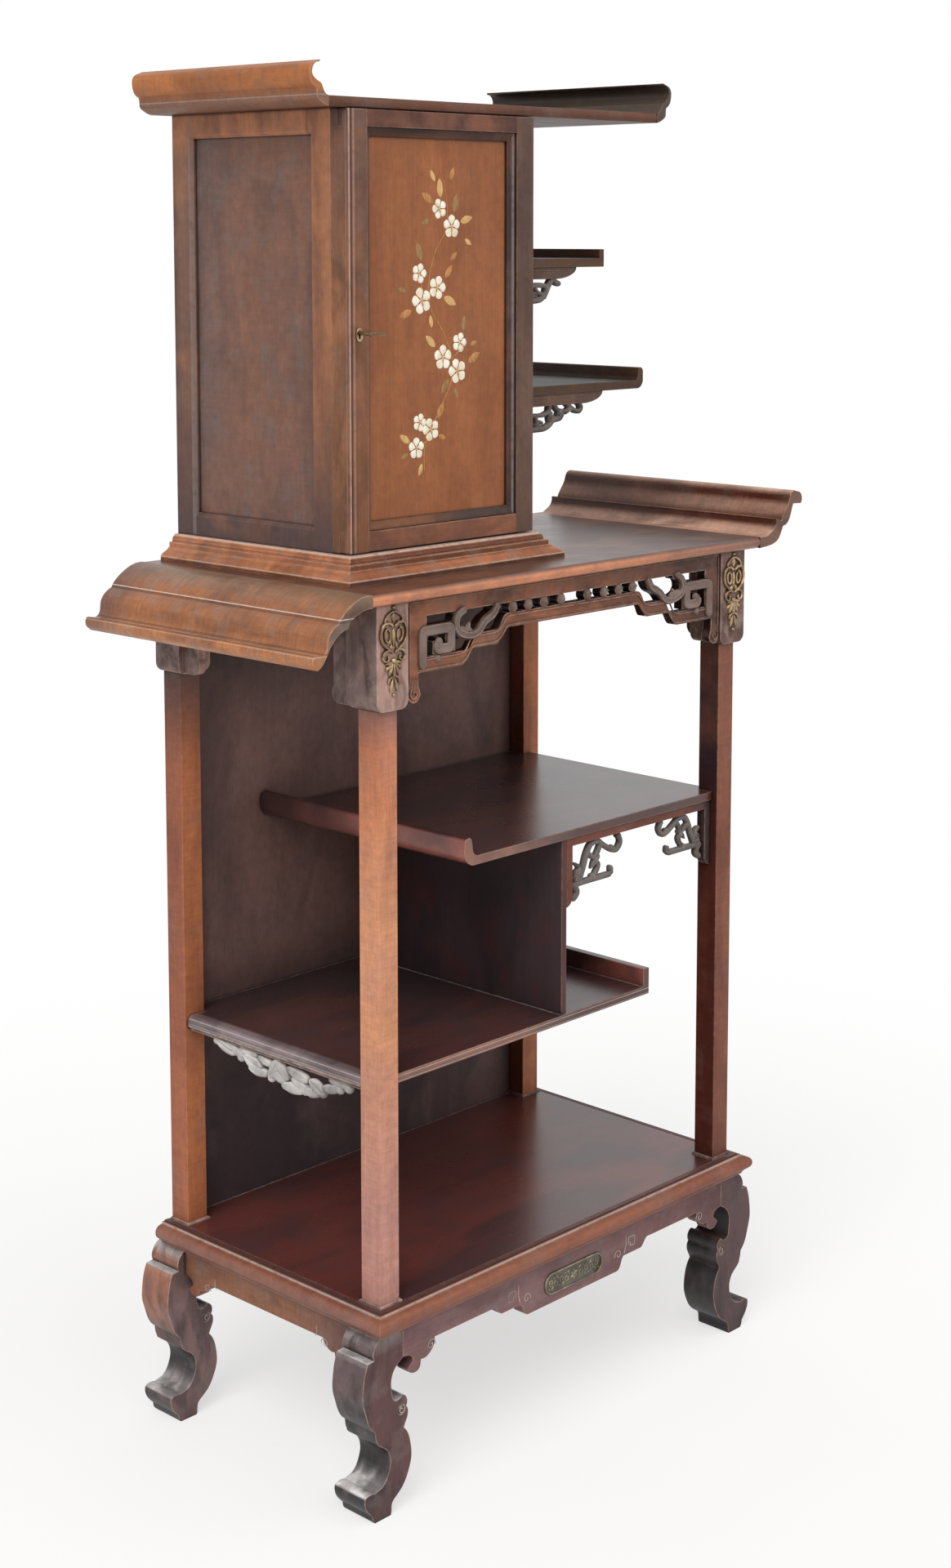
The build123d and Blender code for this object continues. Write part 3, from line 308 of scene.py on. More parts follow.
def wood(parts, axis, tone, deep, film=FILM, stain=0.5, haze=0.4, grain=0.10, ripple=0.0, top=None,
         left=None, front=None, fades=(), lines=(), dust=0.6, wear_and_highlight=0.5, worn_and_highlit=WORN_HIGHLIT_EDGE, gloss=0.42,
         patchy=0.08, coat=0.0, shine=0.2, hollow_shade=0.5, cloud_size=0.13, pitted=0.3, seed=0.0,
         rounding=0.9):
    """Stained hardwood with its grain along an axis, for the CAD nodes named in parts.

    Over the tone lie clouds of deeper stain, as strong as stain, and of grey film, as strong as
    haze. top, left and front are the colours of faces that look that way, each one colour or a
    change along the piece: (axis, from, to, colour, colour); they mostly paint the light and shade
    on those faces. Each fade is (axis, from, to, colour). Each line is (axis, from, to, colour,
    strength): painted light, painted shade or dust along a thin edge. All these places are metres
    in the frame. ripple is the strength of short streaks across the grain, hollow_shade that of the
    painted shade in the bays, wear_and_highlight that of the worn and highlit colour on the arrises,
    and dust that of the dust on ledges. pitted is the strength of pores, pits and specks, and 0 on
    smooth boards, whose clouds are plain as well. rounding is the radius of the edges in millimetres.
    """
    parts = parts.split()
    graph = new_material(parts[0] + "_wood")
    offset = (seed, seed * 1.7, seed * 0.6)
    turned = offset[::-1]
    size = 1 / cloud_size
    fine = 6 if pitted else 3
    streaks = graph.noise(along(axis, *STREAKS), offset)
    pores = graph.noise(along(axis, *PORES), offset, detail=2)
    cloud = graph.noise(along(axis, size * 0.45, size * 1.25), offset, detail=fine, distortion=0.7)
    glow = graph.noise(size * 0.8, turned, detail=4, distortion=0.4)
    mist = graph.noise(size * 1.7, turned, detail=fine, roughness=0.6)
    rub = graph.noise(RUBBING, offset, detail=5, roughness=0.6)

    colour = face_light_and_fades(graph, tone, top, left, front, fades)
    colour = graph.mix(graph.spread(glow, 0.50, 0.68, to_high=0.35), colour, scaled(tone, 1.35))
    colour = graph.mix(graph.spread(cloud, 0.47, 0.62, to_high=stain), colour, deep)
    colour = graph.mix(graph.spread(mist, 0.50, 0.64, to_high=haze), colour, film)
    shade = grained(graph, axis, offset, streaks, rub, grain, ripple, pitted)
    colour = graph.mix(1.0, colour, shade, "MULTIPLY")
    pits = graph.spread(pores, 0.57, 0.68)
    colour = graph.mix(graph.times(pits, pitted), colour, scaled(deep, 0.6))
    # Painted shade: darker where other parts lie within a bay's reach, where less light falls.
    wide = graph.spread(graph.hollows(BAY), 0.10, 0.75, to_high=hollow_shade)
    colour = graph.mix(wide, colour, scaled(deep, 0.35))

    inner = graph.hollows(SEAM)
    # Arrises take the edge colour: wear, and a painted highlight along the edge.
    edge = graph.times(graph.arrises(ARRIS), graph.spread(rub, 0.38, 0.58, 0.35, 1.0))
    edge = graph.times(edge, graph.spread(inner, 0.02, 0.22, wear_and_highlight, 0.0))
    colour = graph.mix(edge, colour, worn_and_highlit)
    colour = lined(graph, colour, lines, rub)

    up = graph.upward()
    crevice = graph.spread(inner, 0.24, 0.50)
    # Painted shade: seams on upright faces and undersides darkened, where light doesn't reach.
    seam_shade = graph.times(crevice, graph.spread(up, 0.0, 0.5, 0.75, 0.0))
    colour = graph.mix(seam_shade, colour, scaled(deep, 0.18))
    ledge = graph.times(graph.times(crevice, up), graph.spread(rub, 0.36, 0.58, 0.35, 1.0))
    colour = graph.mix(graph.times(ledge, dust), colour, DUST)
    specks = graph.add("TexVoronoi", Vector=graph.stretch(SPECKS, offset))
    spot = graph.times(graph.spread(specks.outputs["Distance"], 0.10, 0.06), graph.spread(mist, 0.5, 0.6))
    colour = graph.mix(graph.times(spot, pitted * 1.3), colour, DUST)

    dull = graph.spread(mist, 0.35, 0.65, gloss, gloss + patchy)
    dull = graph.maths("ADD", dull, graph.times(ledge, 0.3), clamp=True)
    graph.set(Base_Color=colour, Roughness=dull, Specular_IOR_Level=shine, Coat_Weight=coat,
              Coat_Roughness=0.26)
    graph.bump(graph.maths("SUBTRACT", graph.times(streaks, 0.5), pits), pitted, 0.1 * MM)
    dress(graph.owner, rounding, *parts)
    return graph.owner


def carved_wood(name, tone, dust_and_light, dust=0.5, hollow_shade=0.6, chipped=0.5):
    """Carved wood with tool marks, with painted shade in its hollows, grey with dust in clouds, and grey
    with dust and painted light where it faces up.
    """
    graph = new_material(name)
    grain = graph.noise((30, 120, 60), detail=4, distortion=0.4)
    marks = graph.noise(190, detail=2)
    cloud = graph.noise(22)
    colour = graph.ramp(grain, (0.3, scaled(tone, 0.7)), (0.68, scaled(tone, 1.3)))
    dust_and_top_light = graph.spread(cloud, 0.34, 0.66, to_high=dust)
    # Painted light with dust: faces that look up take more of the pale colour.
    dust_and_top_light = graph.maths("ADD", dust_and_top_light, graph.times(graph.upward(), dust * 0.8))
    colour = graph.mix(graph.maths("MINIMUM", dust_and_top_light, 0.92), colour, dust_and_light)
    # Painted shade: near black in the hollows of the carving.
    inner = graph.spread(graph.hollows(7 * MM), 0.25, 0.85, to_high=hollow_shade)
    colour = graph.mix(inner, colour, scaled(tone, 0.2))
    rubbed = graph.times(graph.arrises(1.2 * MM), graph.spread(marks, 0.35, 0.6, 0.1, 0.7))
    colour = graph.mix(rubbed, colour, DUST)
    graph.set(Base_Color=colour, Roughness=graph.spread(cloud, 0.3, 0.7, 0.48, 0.75),
              Specular_IOR_Level=0.3)
    graph.bump(marks, chipped, 0.3 * MM)
    return graph.owner


def brass(name, dark, gold, metal=0.7):
    """Antique brass: dark in the hollows and brighter on what hands and cloths reach."""
    graph = new_material(name)
    cloud = graph.noise(60, detail=4)
    grit = graph.noise(600, detail=2)
    rubbed = graph.times(graph.arrises(0.7 * MM), 0.45)
    share = graph.maths("ADD", graph.spread(cloud, 0.42, 0.72, to_high=0.6), rubbed, clamp=True)
    colour = graph.mix(share, dark, gold)
    inner = graph.spread(graph.hollows(3 * MM), 0.15, 0.6, to_high=0.8)
    colour = graph.mix(inner, colour, srgb(52, 40, 34))
    graph.set(Base_Color=colour, Metallic=metal, Roughness=graph.spread(cloud, 0.3, 0.7, 0.28, 0.48))
    graph.bump(grit, 0.25, 0.05 * MM)
    return graph.owner


def bone(name, pale, shade):
    """Polished bone with faint lines and a warmer tone in patches."""
    graph = new_material(name)
    lines = graph.noise((90, 400, 900), detail=2)
    cloud = graph.noise(60)
    colour = graph.ramp(cloud, (0.35, shade), (0.6, pale))
    colour = graph.mix(graph.spread(lines, 0.58, 0.7, to_high=0.3), colour, shade)
    # Painted shade: browner in its narrow hollows.
    inner = graph.spread(graph.hollows(1.2 * MM), 0.35, 0.9, to_high=0.55)
    colour = graph.mix(inner, colour, srgb(150, 104, 70))
    graph.set(Base_Color=colour, Roughness=0.38, Subsurface_Weight=0.05)
    graph.bump(lines, 0.2, 0.05 * MM)
    return graph.owner


def veneer(name, base, streak):
    """A thin inlaid leaf of stained wood."""
    graph = new_material(name)
    lines = graph.noise((500, 500, 120), detail=2)
    colour = graph.ramp(lines, (0.35, base), (0.65, streak))
    graph.set(Base_Color=colour, Roughness=0.45, Specular_IOR_Level=0.35)
    graph.bump(lines, 0.2, 0.05 * MM)
    return graph.owner


def settled_dust(name):
    """The grey dust that lies in incised lines and corners."""
    graph = new_material(name)
    patch = graph.noise(45)
    colour = graph.ramp(patch, (0.38, srgb(132, 116, 112)), (0.62, srgb(182, 170, 166)))
    graph.set(Base_Color=colour, Roughness=0.9, Specular_IOR_Level=0.1)
    graph.bump(graph.noise(900, detail=2), 0.6, 0.1 * MM)
    return graph.owner


# ---- shaping ----
# Cross-sections of carved bands: (across, level) from -1 to 1 over half the width and the height.
ROUND = ((-1.0, 0.0), (-1.0, 0.5), (-0.82, 0.82), (-0.45, 0.97), (0.0, 1.0),
         (0.45, 0.97), (0.82, 0.82), (1.0, 0.5), (1.0, 0.0))
RIMMED = ((-1.0, 0.0), (-1.0, 0.8), (-0.88, 1.0), (-0.66, 1.0), (-0.52, 0.74), (0.0, 0.68),
          (0.52, 0.74), (0.66, 1.0), (0.88, 1.0), (1.0, 0.8), (1.0, 0.0))
FULL = ((-1.0, 0.0), (-0.9, 0.62), (-0.5, 0.94), (0.0, 1.0), (0.5, 0.94), (0.9, 0.62), (1.0, 0.0),
        (0.9, -0.62), (0.5, -0.94), (0.0, -1.0), (-0.5, -0.94), (-0.9, -0.62))
CREASED = ((-1.0, 0.0), (-0.85, 0.6), (-0.5, 1.0), (-0.15, 0.8), (0.0, 0.55), (0.15, 0.8),
           (0.5, 1.0), (0.85, 0.6), (1.0, 0.0), (0.85, -0.6), (0.4, -0.9), (0.0, -0.85),
           (-0.4, -0.9), (-0.85, -0.6))


def between(here, there, share):
    """The place at a share of the way from one place to another."""
    return tuple(a + (b - a) * share for a, b in zip(here, there))


def away(x, y, reach, turn):
    """The place at a distance from x, y, in a direction in degrees."""
    angle = math.radians(turn)
    return (x + reach * math.cos(angle), y + reach * math.sin(angle))


def smooth_line(points, steps=8):
    """A line that passes smoothly through all the points."""
    if len(points) == 2:
        return [between(*points, step / steps) for step in range(steps + 1)]
    line = []
    for number in range(len(points) - 1):
        window = [points[min(max(number + shift, 0), len(points) - 1)] for shift in (-1, 0, 1, 2)]
        for step in range(steps):
            t = step / steps
            line.append(tuple(0.5 * (2 * p1 + (p2 - p0) * t + (2 * p0 - 5 * p1 + 4 * p2 - p3) * t * t
                                     + (3 * p1 - p0 - 3 * p2 + p3) * t ** 3)
                              for p0, p1, p2, p3 in zip(*window)))
    line.append(tuple(points[-1]))
    return line


def bent_line(points, radius=3.0, steps=4, stride=4.0):
    """Straight runs between the points, with small round corners."""
    line = [tuple(points[0])]
    for before, here, after in zip(points, points[1:], points[2:]):
        start = between(here, before, min(radius / math.dist(before, here), 0.5))
        end = between(here, after, min(radius / math.dist(here, after), 0.5))
        for step in range(steps + 1):
            t = step / steps
            line.append(between(between(start, here, t), between(here, end, t), t))
    line.append(tuple(points[-1]))
    filled = line[:1]
    for here, there in zip(line, line[1:]):
        parts = max(math.ceil(math.dist(here, there) / stride), 1)
        filled.extend(between(here, there, part / parts) for part in range(1, parts + 1))
    return filled


def spiral(x, y, radius, turns=1.25, start=0.0, hand=1):
    """Points of a curl that winds inwards to its middle."""
    count = round(turns * 8)
    shares = [number / count for number in range(count + 1)]
    return [away(x, y, radius * (1 - 0.85 * share), start + hand * 360 * turns * share)
            for share in shares]


def facing_front(x0, y0, z0, side=1):
    """Places (across, up, out) on a face that looks to the front, -Y, in millimetres."""
    def spot(across, up, out):
        return (x0 + side * across * MM, y0 - out * MM, z0 + up * MM)
    return spot


def facing_side(x0, y0, z0, side=-1, along_y=1):
    """Places (across, up, out) on a face that looks to the left (side -1) or the right (side 1)."""
    def spot(across, up, out):
        return (x0 + side * out * MM, y0 + along_y * across * MM, z0 + up * MM)
    return spot


class Shape:
    """Points and faces of one piece, gathered from parts that are drawn on a face of the cabinet.

    spot is the function that turns a part's (across, up, out) in millimetres into a place.
    """

    def __init__(self, spot=None):
        self.spot = spot
        self.points = []
        self.faces = []

    def strips(self, rows, closed=True):
        """A skin over rows of as many points each: closed round with flat ends, or open."""
        first = len(self.points)
        size = len(rows[0])
        last = (len(rows) - 1) * size
        self.points.extend(point for row in rows for point in row)
        faces = []
        for row in range(0, last, size):
            for number in range(size if closed else size - 1):
                after = (number + 1) % size
                faces.append((row + number, row + after, row + size + after, row + size + number))
        if closed:
            faces.append(tuple(range(size)))
            faces.append(tuple(range(last + size - 1, last - 1, -1)))
        self.faces.extend(tuple(first + number for number in face) for face in faces)

    def sweep(self, line, width, section, lift, start=1.0, end=1.0, leaf=False):
        """A section run along a line, with round ends; lift gives its height at each level.

        start and end are the shares of the width at the two ends, which grow to the full width
        over the taper. A leaf swells from a thin stem to a thin tip instead.
        """
        taper = 0.4
        lengths = [0.0]
        for here, there in zip(line, line[1:]):
            lengths.append(lengths[-1] + max(math.dist(here, there), 1e-6))
        total = lengths[-1]
        cap = min(width / 2, total / 3)
        rows = []
        for number, (x, y) in enumerate(line):
            before = line[max(number - 1, 0)]
            after = line[min(number + 1, len(line) - 1)]
            run = math.dist(before, after) or 1.0
            across = (-(after[1] - before[1]) / run, (after[0] - before[0]) / run)
            share = lengths[number] / total
            if leaf:
                swell = max(math.sin(math.pi * share ** 0.75), 0.06) ** 0.8
                body = swell
            else:
                swell = start + (1.0 - start) * min(share / taper, 1.0)
                swell = min(swell, end + (1.0 - end) * min((1.0 - share) / taper, 1.0))
                near_end = min(lengths[number], total - lengths[number])
                rounding = math.sqrt(max(0.03, 1 - (1 - min(near_end / cap, 1.0)) ** 2))
                body = rounding * (0.6 + 0.4 * swell)
                swell *= rounding
            half = width / 2 * swell
            rows.append([self.spot(x + across[0] * half * s, y + across[1] * half * s, lift(level, body))
                         for s, level in section])
        self.strips(rows)

    def band(self, points, width, thick, section=ROUND, steps=8, **ends):
        """A raised band on the face, along a smooth line, or along the points as they are if steps is 0."""
        line = smooth_line(points, steps) if steps else points
        self.sweep(line, width, section, lambda level, body: thick * level * (0.4 + 0.6 * body), **ends)

    def rod(self, points, width, depth, front=0.0, section=FULL, **ends):
        """A carved rod or leaf with a shaped back as well, from a front level inwards by its depth."""
        half = depth / 2
        self.sweep(smooth_line(points), width, section,
                   lambda level, body: front - half + half * level * (0.45 + 0.55 * body), **ends)

    def dome(self, x, y, radius, height, rings=4, around=16):
        """A low round boss."""
        rows = []
        for step in range(rings + 1):
            angle = math.pi / 2 * step / rings
            reach = radius * max(math.cos(angle), 0.02)
            rows.append([self.spot(*away(x, y, reach, 360 * number / around), height * math.sin(angle))
                         for number in range(around)])
        self.strips(rows)

    def ball(self, x, y, radius, depth, front=0.0):
        """A flattened ball, carved through."""
        half = depth / 2
        rows = []
        for step in range(9):
            angle = math.pi * (step / 8 - 0.5)
            reach = radius * max(math.cos(angle), 0.03)
            level = front - half + half * math.sin(angle)
            rows.append([self.spot(*away(x, y, reach, 22.5 * number), level) for number in range(16)])
        self.strips(rows)

    def lobe(self, x, y, length, width, height, turn, notch=0.0, tip=0.5):
        """A petal or leaf: a domed blade from its stem point, with a groove down its middle."""
        ranks = 8
        files = 6
        vein = 0.25
        lean = math.radians(turn)
        rows = []
        for rank in range(ranks + 1):
            share = rank / ranks
            swell = math.sin(math.pi * min(share ** tip, 1.0)) ** 0.75 if rank not in (0, ranks) else 0.04
            row = []
            for number in range(-files, files + 1):
                side = number / files
                reach = length * (share - notch * share * (1 - abs(side)) ** 2)
                across = width / 2 * swell * side
                crown = (1 - abs(side) ** 2.5) * (0.35 + 0.65 * swell)
                crown -= vein * max(0.0, 1 - abs(side) * 4) * swell
                row.append(self.spot(x + reach * math.cos(lean) - across * math.sin(lean),
                                     y + reach * math.sin(lean) + across * math.cos(lean),
                                     height * max(crown, 0.0)))
            rows.append(row)
        self.strips(rows, closed=False)

    def plate(self, points, depth, front=0.0, chamfer=1.0):
        """A flat board cut to an outline, with its front edges taken off."""
        centre = (sum(x for x, y in points) / len(points), sum(y for x, y in points) / len(points))
        inset = [between(point, centre, chamfer / math.dist(point, centre)) for point in points]
        self.strips([[self.spot(*point, front) for point in inset],
                     [self.spot(*point, front - chamfer) for point in points],
                     [self.spot(*point, front - depth) for point in points]])

    def piece(self, name, material, slot, body, replaces=()):
        """Makes the piece, which rides on a body and stands for the CAD nodes that it replaces."""
        mesh = bpy.data.meshes.new(name)
        mesh.from_pydata(self.points, [], self.faces)
        build = bmesh.new()
        build.from_mesh(mesh)
        bmesh.ops.recalc_face_normals(build, faces=build.faces)
        build.to_mesh(mesh)
        build.free()
        mesh.materials.append(material)
        mesh.polygons.foreach_set("use_smooth", [True] * len(mesh.polygons))
        mesh.set_sharp_from_angle(angle=math.radians(50))
        mesh.update()
        piece = bpy.data.objects.new(name, mesh)
        bpy.context.scene.collection.objects.link(piece)
        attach(piece, body)
        if replaces:
            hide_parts(*replaces)


# ---- woods of the cabinet ----
# What several of them share: boards with a smooth polish, and legs that shoes and brooms have rubbed, with
# strong painted shade in their bays and pale arrises, worn and painted as highlights.
POLISHED = dict(grain=0.06, gloss=0.27, patchy=0.02, shine=0.3, coat=0.35, dust=1.0, pitted=0.0)
SCUFFED_AND_SHADED = dict(wear_and_highlight=1.0, worn_and_highlit=srgb(200, 178, 166), dust=0.9, gloss=0.40, shine=0.3, hollow_shade=0.7,
               cloud_size=0.045)

moulding_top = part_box("platform_moulding")[1].z
roof_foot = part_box("roof_scroll_left")[0].z
side_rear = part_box("cabinet_side_left")[1].y
side_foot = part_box("cabinet_side_left")[0].z
door_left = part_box("door_stile_left")[0].x
curl_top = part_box("console_end_left")[1].z
plinth_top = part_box("plinth")[1].z
plinth_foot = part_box("plinth")[0].z
shelf_red = shaded(80, 49, 47)
shelf_black = shaded(46, 38, 42)
# Thin lines along ledges and beads: the pale one is dust with a painted highlight, the dark one painted
# shade under a ledge or in a groove.
dust_and_highlight_line = seen(226, 204, 190)
shade_line = seen(54, 34, 30)

# posts, capitals and frieze
wood("post_front_left", "Z", seen(204, 144, 110), seen(150, 98, 80), film=seen(176, 130, 118),
     haze=0.35, ripple=0.07,
     fades=(("Z", 0.78, 0.90, seen(198, 130, 96)), ("Z", 0.62, 0.38, seen(184, 136, 126)),
            ("Z", 0.97, 1.02, seen(140, 108, 104))),
     wear_and_highlight=0.4, worn_and_highlit=seen(128, 84, 74), hollow_shade=0.35, seed=1.3, rounding=1.3)
wood("post_rear_left", "Z", seen(160, 100, 76), seen(116, 72, 64), film=seen(136, 106, 98),
     haze=0.35, ripple=0.06, front=seen(184, 116, 80), fades=(("Z", 0.90, 1.02, seen(96, 74, 70)),),
     wear_and_highlight=0.35, seed=1.9, rounding=1.3)
# Its left faces are painted shade, darkest and greyest near the top, where the console hides them from the
# light.
wood("post_front_right", "Z", seen(136, 88, 70), seen(90, 54, 48), film=seen(118, 88, 82), haze=0.35,
     ripple=0.06, left=("Z", 0.62, 0.86, seen(80, 48, 44), seen(60, 50, 52)), hollow_shade=0.65, seed=2.6,
     rounding=1.3)
wood("post_rear_right", "Z", seen(120, 72, 56), seen(84, 48, 42), haze=0.2, ripple=0.05,
     front=seen(186, 118, 80), wear_and_highlight=0.35, seed=3.1, rounding=1.3)
capital_wood = wood("capital_front_left capital_front_right capital_rear_left capital_rear_right",
                    "Z", seen(176, 142, 132), seen(76, 56, 52), film=seen(158, 142, 134), stain=0.7,
                    haze=0.45, left=seen(130, 110, 106),
                    fades=(("X", 0.28, 0.31, seen(108, 84, 76)),), dust=0.9, wear_and_highlight=1.0,
                    worn_and_highlit=srgb(214, 200, 190), cloud_size=0.03, seed=4.7, rounding=1.4)
# Only its front faces are light; the inner faces of its openings are dark, painted shade.
frieze_wood = wood("front_frieze", "X", seen(58, 44, 42), seen(44, 36, 36), film=seen(120, 104, 96),
                   front=("X", -0.10, 0.26, seen(152, 100, 76), seen(104, 74, 64)), dust=0.9,
                   wear_and_highlight=0.9, worn_and_highlit=srgb(218, 184, 164), hollow_shade=0.75, cloud_size=0.045, seed=6.1,
                   rounding=1.2)

# console
# Its front edge is a painted highlight, brightest at the left end.
wood("console_board", "X", seen(150, 96, 68), seen(96, 60, 46), film=seen(108, 84, 74), stain=0.45,
     haze=0.3, top=("X", 0.02, 0.30, seen(88, 62, 54), seen(66, 50, 47)),
     front=("X", 0.0, 0.36, seen(206, 132, 90), seen(128, 84, 68)), wear_and_highlight=0.9, gloss=0.30, coat=0.2,
     shine=0.45, cloud_size=0.07, seed=4.4, rounding=0.8)
wood("console_end_left", "Y", seen(162, 107, 74), seen(112, 77, 62), film=seen(146, 126, 114),
     stain=0.55, grain=0.07, ripple=0.12,
     front=("Z", curl_top - 0.020, curl_top - 0.066, seen(98, 74, 62), seen(138, 120, 112)),
     fades=(("Z", curl_top - 0.018, curl_top, seen(136, 112, 94)),
            ("Z", curl_top - 0.045, curl_top - 0.066, seen(186, 124, 82)),
            ("Y", 0.14, 0.21, seen(118, 88, 78))),
     lines=(("Z", curl_top - 0.0252, curl_top - 0.0240, dust_and_highlight_line, 0.8),
            ("Z", curl_top - 0.0285, curl_top - 0.0256, shade_line, 0.45),
            ("Z", curl_top - 0.0625, curl_top - 0.0608, shade_line, 0.5),
            ("Z", curl_top - 0.0645, curl_top - 0.0634, dust_and_highlight_line, 0.3)),
     wear_and_highlight=0.8, worn_and_highlit=srgb(230, 204, 184), gloss=0.34, shine=0.3, hollow_shade=0.3, cloud_size=0.045,
     seed=2.1, rounding=1.2)
# Its top is a painted highlight along the roll, and its left faces are painted shade in the hollow.
wood("console_end_right", "Y", seen(128, 86, 64), seen(72, 50, 42), film=seen(104, 90, 80),
     stain=0.55, haze=0.35, ripple=0.07, top=seen(210, 166, 144), left=seen(84, 46, 38),
     front=seen(118, 86, 72), wear_and_highlight=0.7, gloss=0.34, shine=0.3, cloud_size=0.08, seed=5.9,
     rounding=1.2)

# roof
wood("roof_board", "X", seen(104, 70, 56), seen(66, 48, 44), film=seen(120, 102, 96), haze=0.3,
     seed=8.2)
wood("roof_scroll_left", "Y", seen(176, 114, 74), seen(134, 86, 62), film=seen(140, 110, 96),
     haze=0.35, grain=0.07, ripple=0.06,
     fades=(("Z", roof_foot + 0.022, roof_foot + 0.014, seen(136, 102, 86)),),
     lines=(("Z", roof_foot + 0.0125, roof_foot + 0.0142, seen(178, 160, 148), 0.5),), wear_and_highlight=0.7,
     hollow_shade=0.4, cloud_size=0.07, seed=6.3)
wood("roof_scroll_right", "Y", shaded(76, 64, 56), shaded(56, 46, 40), haze=0.15, wear_and_highlight=0.3,
     gloss=0.4, seed=7.7)

# cupboard and side shelves
wood("plinth", "X", seen(178, 118, 86), seen(124, 78, 58), film=seen(148, 122, 110), stain=0.55,
     grain=0.08, ripple=0.10, left=seen(196, 132, 96), front=seen(116, 75, 58),
     lines=(("Z", plinth_top - 0.0022, plinth_top + 0.0002, dust_and_highlight_line, 0.6),
            ("Z", plinth_top - 0.0052, plinth_top - 0.0034, shade_line, 0.35),
            ("Z", plinth_foot + 0.0052, plinth_foot + 0.0066, dust_and_highlight_line, 0.6),
            ("Z", plinth_foot + 0.0022, plinth_foot + 0.0040, shade_line, 0.55)),
     dust=0.9, wear_and_highlight=0.9, worn_and_highlit=srgb(230, 200, 178), hollow_shade=0.4, cloud_size=0.06, seed=3.7,
     rounding=0.5)
wood("cabinet_side_left cabinet_side_right", "Z", seen(166, 114, 84), seen(100, 74, 68),
     film=seen(116, 94, 86), stain=0.45, haze=0.3,
     fades=(("Y", side_rear - 0.052, side_rear - 0.036, seen(122, 94, 80)),
            ("Y", side_rear - 0.014, side_rear - 0.001, seen(92, 74, 70)),
            ("Z", side_foot + 0.20, side_foot + 0.02, seen(92, 76, 74)),
            ("Z", side_foot + 0.48, side_foot + 0.52, seen(190, 130, 98))),
     lines=(("Y", side_rear - 0.0375, side_rear - 0.031, seen(138, 126, 124), 0.55),
            ("Y", -0.0560, -0.0510, seen(96, 66, 56), 0.4)),
     dust=0.7, hollow_shade=0.12, cloud_size=0.08, seed=5.2)
wood("cabinet_side_panels", "Z", seen(130, 96, 82), seen(92, 76, 74), film=seen(114, 104, 102),
     haze=0.45, grain=0.05, ripple=0.04,
     fades=(("Y", 0.08, 0.16, seen(112, 94, 90)),
            ("Z", side_foot + 0.14, side_foot + 0.05, seen(130, 98, 86))),
     dust=0.5, cloud_size=0.075, seed=8.8, rounding=0.3)
wood("side_shelf_upper side_shelf_lower", "X", seen(92, 68, 54), seen(56, 44, 40), haze=0.2,
     top=shaded(18, 16, 15), wear_and_highlight=0.55, worn_and_highlit=seen(150, 128, 112), seed=9.9)

# door
wood("door_stile_left", "Z", seen(136, 92, 68), seen(74, 56, 52), film=seen(120, 102, 96), haze=0.35,
     left=seen(150, 104, 76), fades=(("Z", side_foot + 0.30, side_foot + 0.50, seen(110, 84, 74)),),
     lines=(("X", door_left + 0.0010, door_left + 0.0038, seen(190, 156, 144), 0.8),
            ("X", door_left + 0.0045, door_left + 0.0065, seen(96, 68, 60), 0.6),
            ("X", door_left + 0.0075, door_left + 0.0105, seen(172, 138, 126), 0.6)),
     dust=0.7, wear_and_highlight=0.7, worn_and_highlit=seen(196, 160, 142), cloud_size=0.05, seed=5.6)
plain_wood = wood("door_stile_right", "Z", seen(108, 84, 72), seen(66, 52, 50), haze=0.3, wear_and_highlight=0.45,
                  seed=6.9)
wood("door_rail_top door_rail_bottom", "X", seen(150, 100, 78), seen(84, 60, 54),
     film=seen(116, 96, 90), haze=0.3,
     fades=(("Z", side_foot + 0.30, side_foot + 0.50, seen(86, 60, 54)),), wear_and_highlight=0.6, cloud_size=0.07,
     seed=6.6)
wood("door_moulding", "Z", seen(124, 84, 62), seen(46, 36, 36), haze=0.3,
     fades=(("X", -0.20, -0.12, seen(76, 62, 58)),
            ("Z", side_foot + 0.505, side_foot + 0.515, seen(58, 46, 46))),
     # A painted highlight line along the moulding's right side.
     lines=(("X", -0.0325, -0.0300, seen(136, 130, 134), 0.6),), dust=0.8, wear_and_highlight=0.75,
     worn_and_highlit=seen(142, 134, 134), hollow_shade=0.7, seed=1.1)
wood("door_panel", "Z", seen(154, 98, 66), seen(128, 78, 54), film=seen(136, 94, 74), stain=0.45,
     haze=0.25, dust=0.4, wear_and_highlight=0.2, gloss=0.36, patchy=0.04, hollow_shade=0.55, cloud_size=0.10, seed=7.9,
     rounding=0.3)

# open shelving
# Painted light and shade: lighter left lip and front edges, the fronts brightest at the left, and darker
# towards the back, the shade in the bay.
wood("shelf_upper shelf_lower cabinet_floor", "X", shelf_red, shelf_black, film=shaded(58, 50, 52),
     stain=0.65, haze=0.45, left=shaded(148, 84, 72),
     front=("X", -0.01, 0.03, seen(142, 100, 84), seen(88, 58, 50)),
     fades=(("Y", 0.02, 0.14, shaded(72, 46, 44)), ("X", -0.326, -0.332, shaded(136, 120, 122))),
     lines=(("Z", 0.5530, 0.5540, shaded(196, 184, 182), 0.6),
            ("Z", 0.5490, 0.5500, shaded(66, 52, 52), 0.6),
            ("Z", 0.5466, 0.5474, shaded(186, 174, 172), 0.5)),
     wear_and_highlight=0.9, worn_and_highlit=seen(210, 158, 132), cloud_size=0.14, seed=9.5, **POLISHED)
wood("shelf_divider", "Z", shaded(62, 46, 49), shaded(32, 26, 30), film=shaded(82, 36, 34),
     front=seen(92, 64, 60), gloss=0.34, cloud_size=0.12, pitted=0.1, seed=4.9)
wood("shelf_rail", "X", seen(112, 70, 60), seen(76, 50, 46), stain=0.55, haze=0.3,
     fades=(("X", 0.26, 0.31, shaded(62, 54, 54)),), seed=3.3)
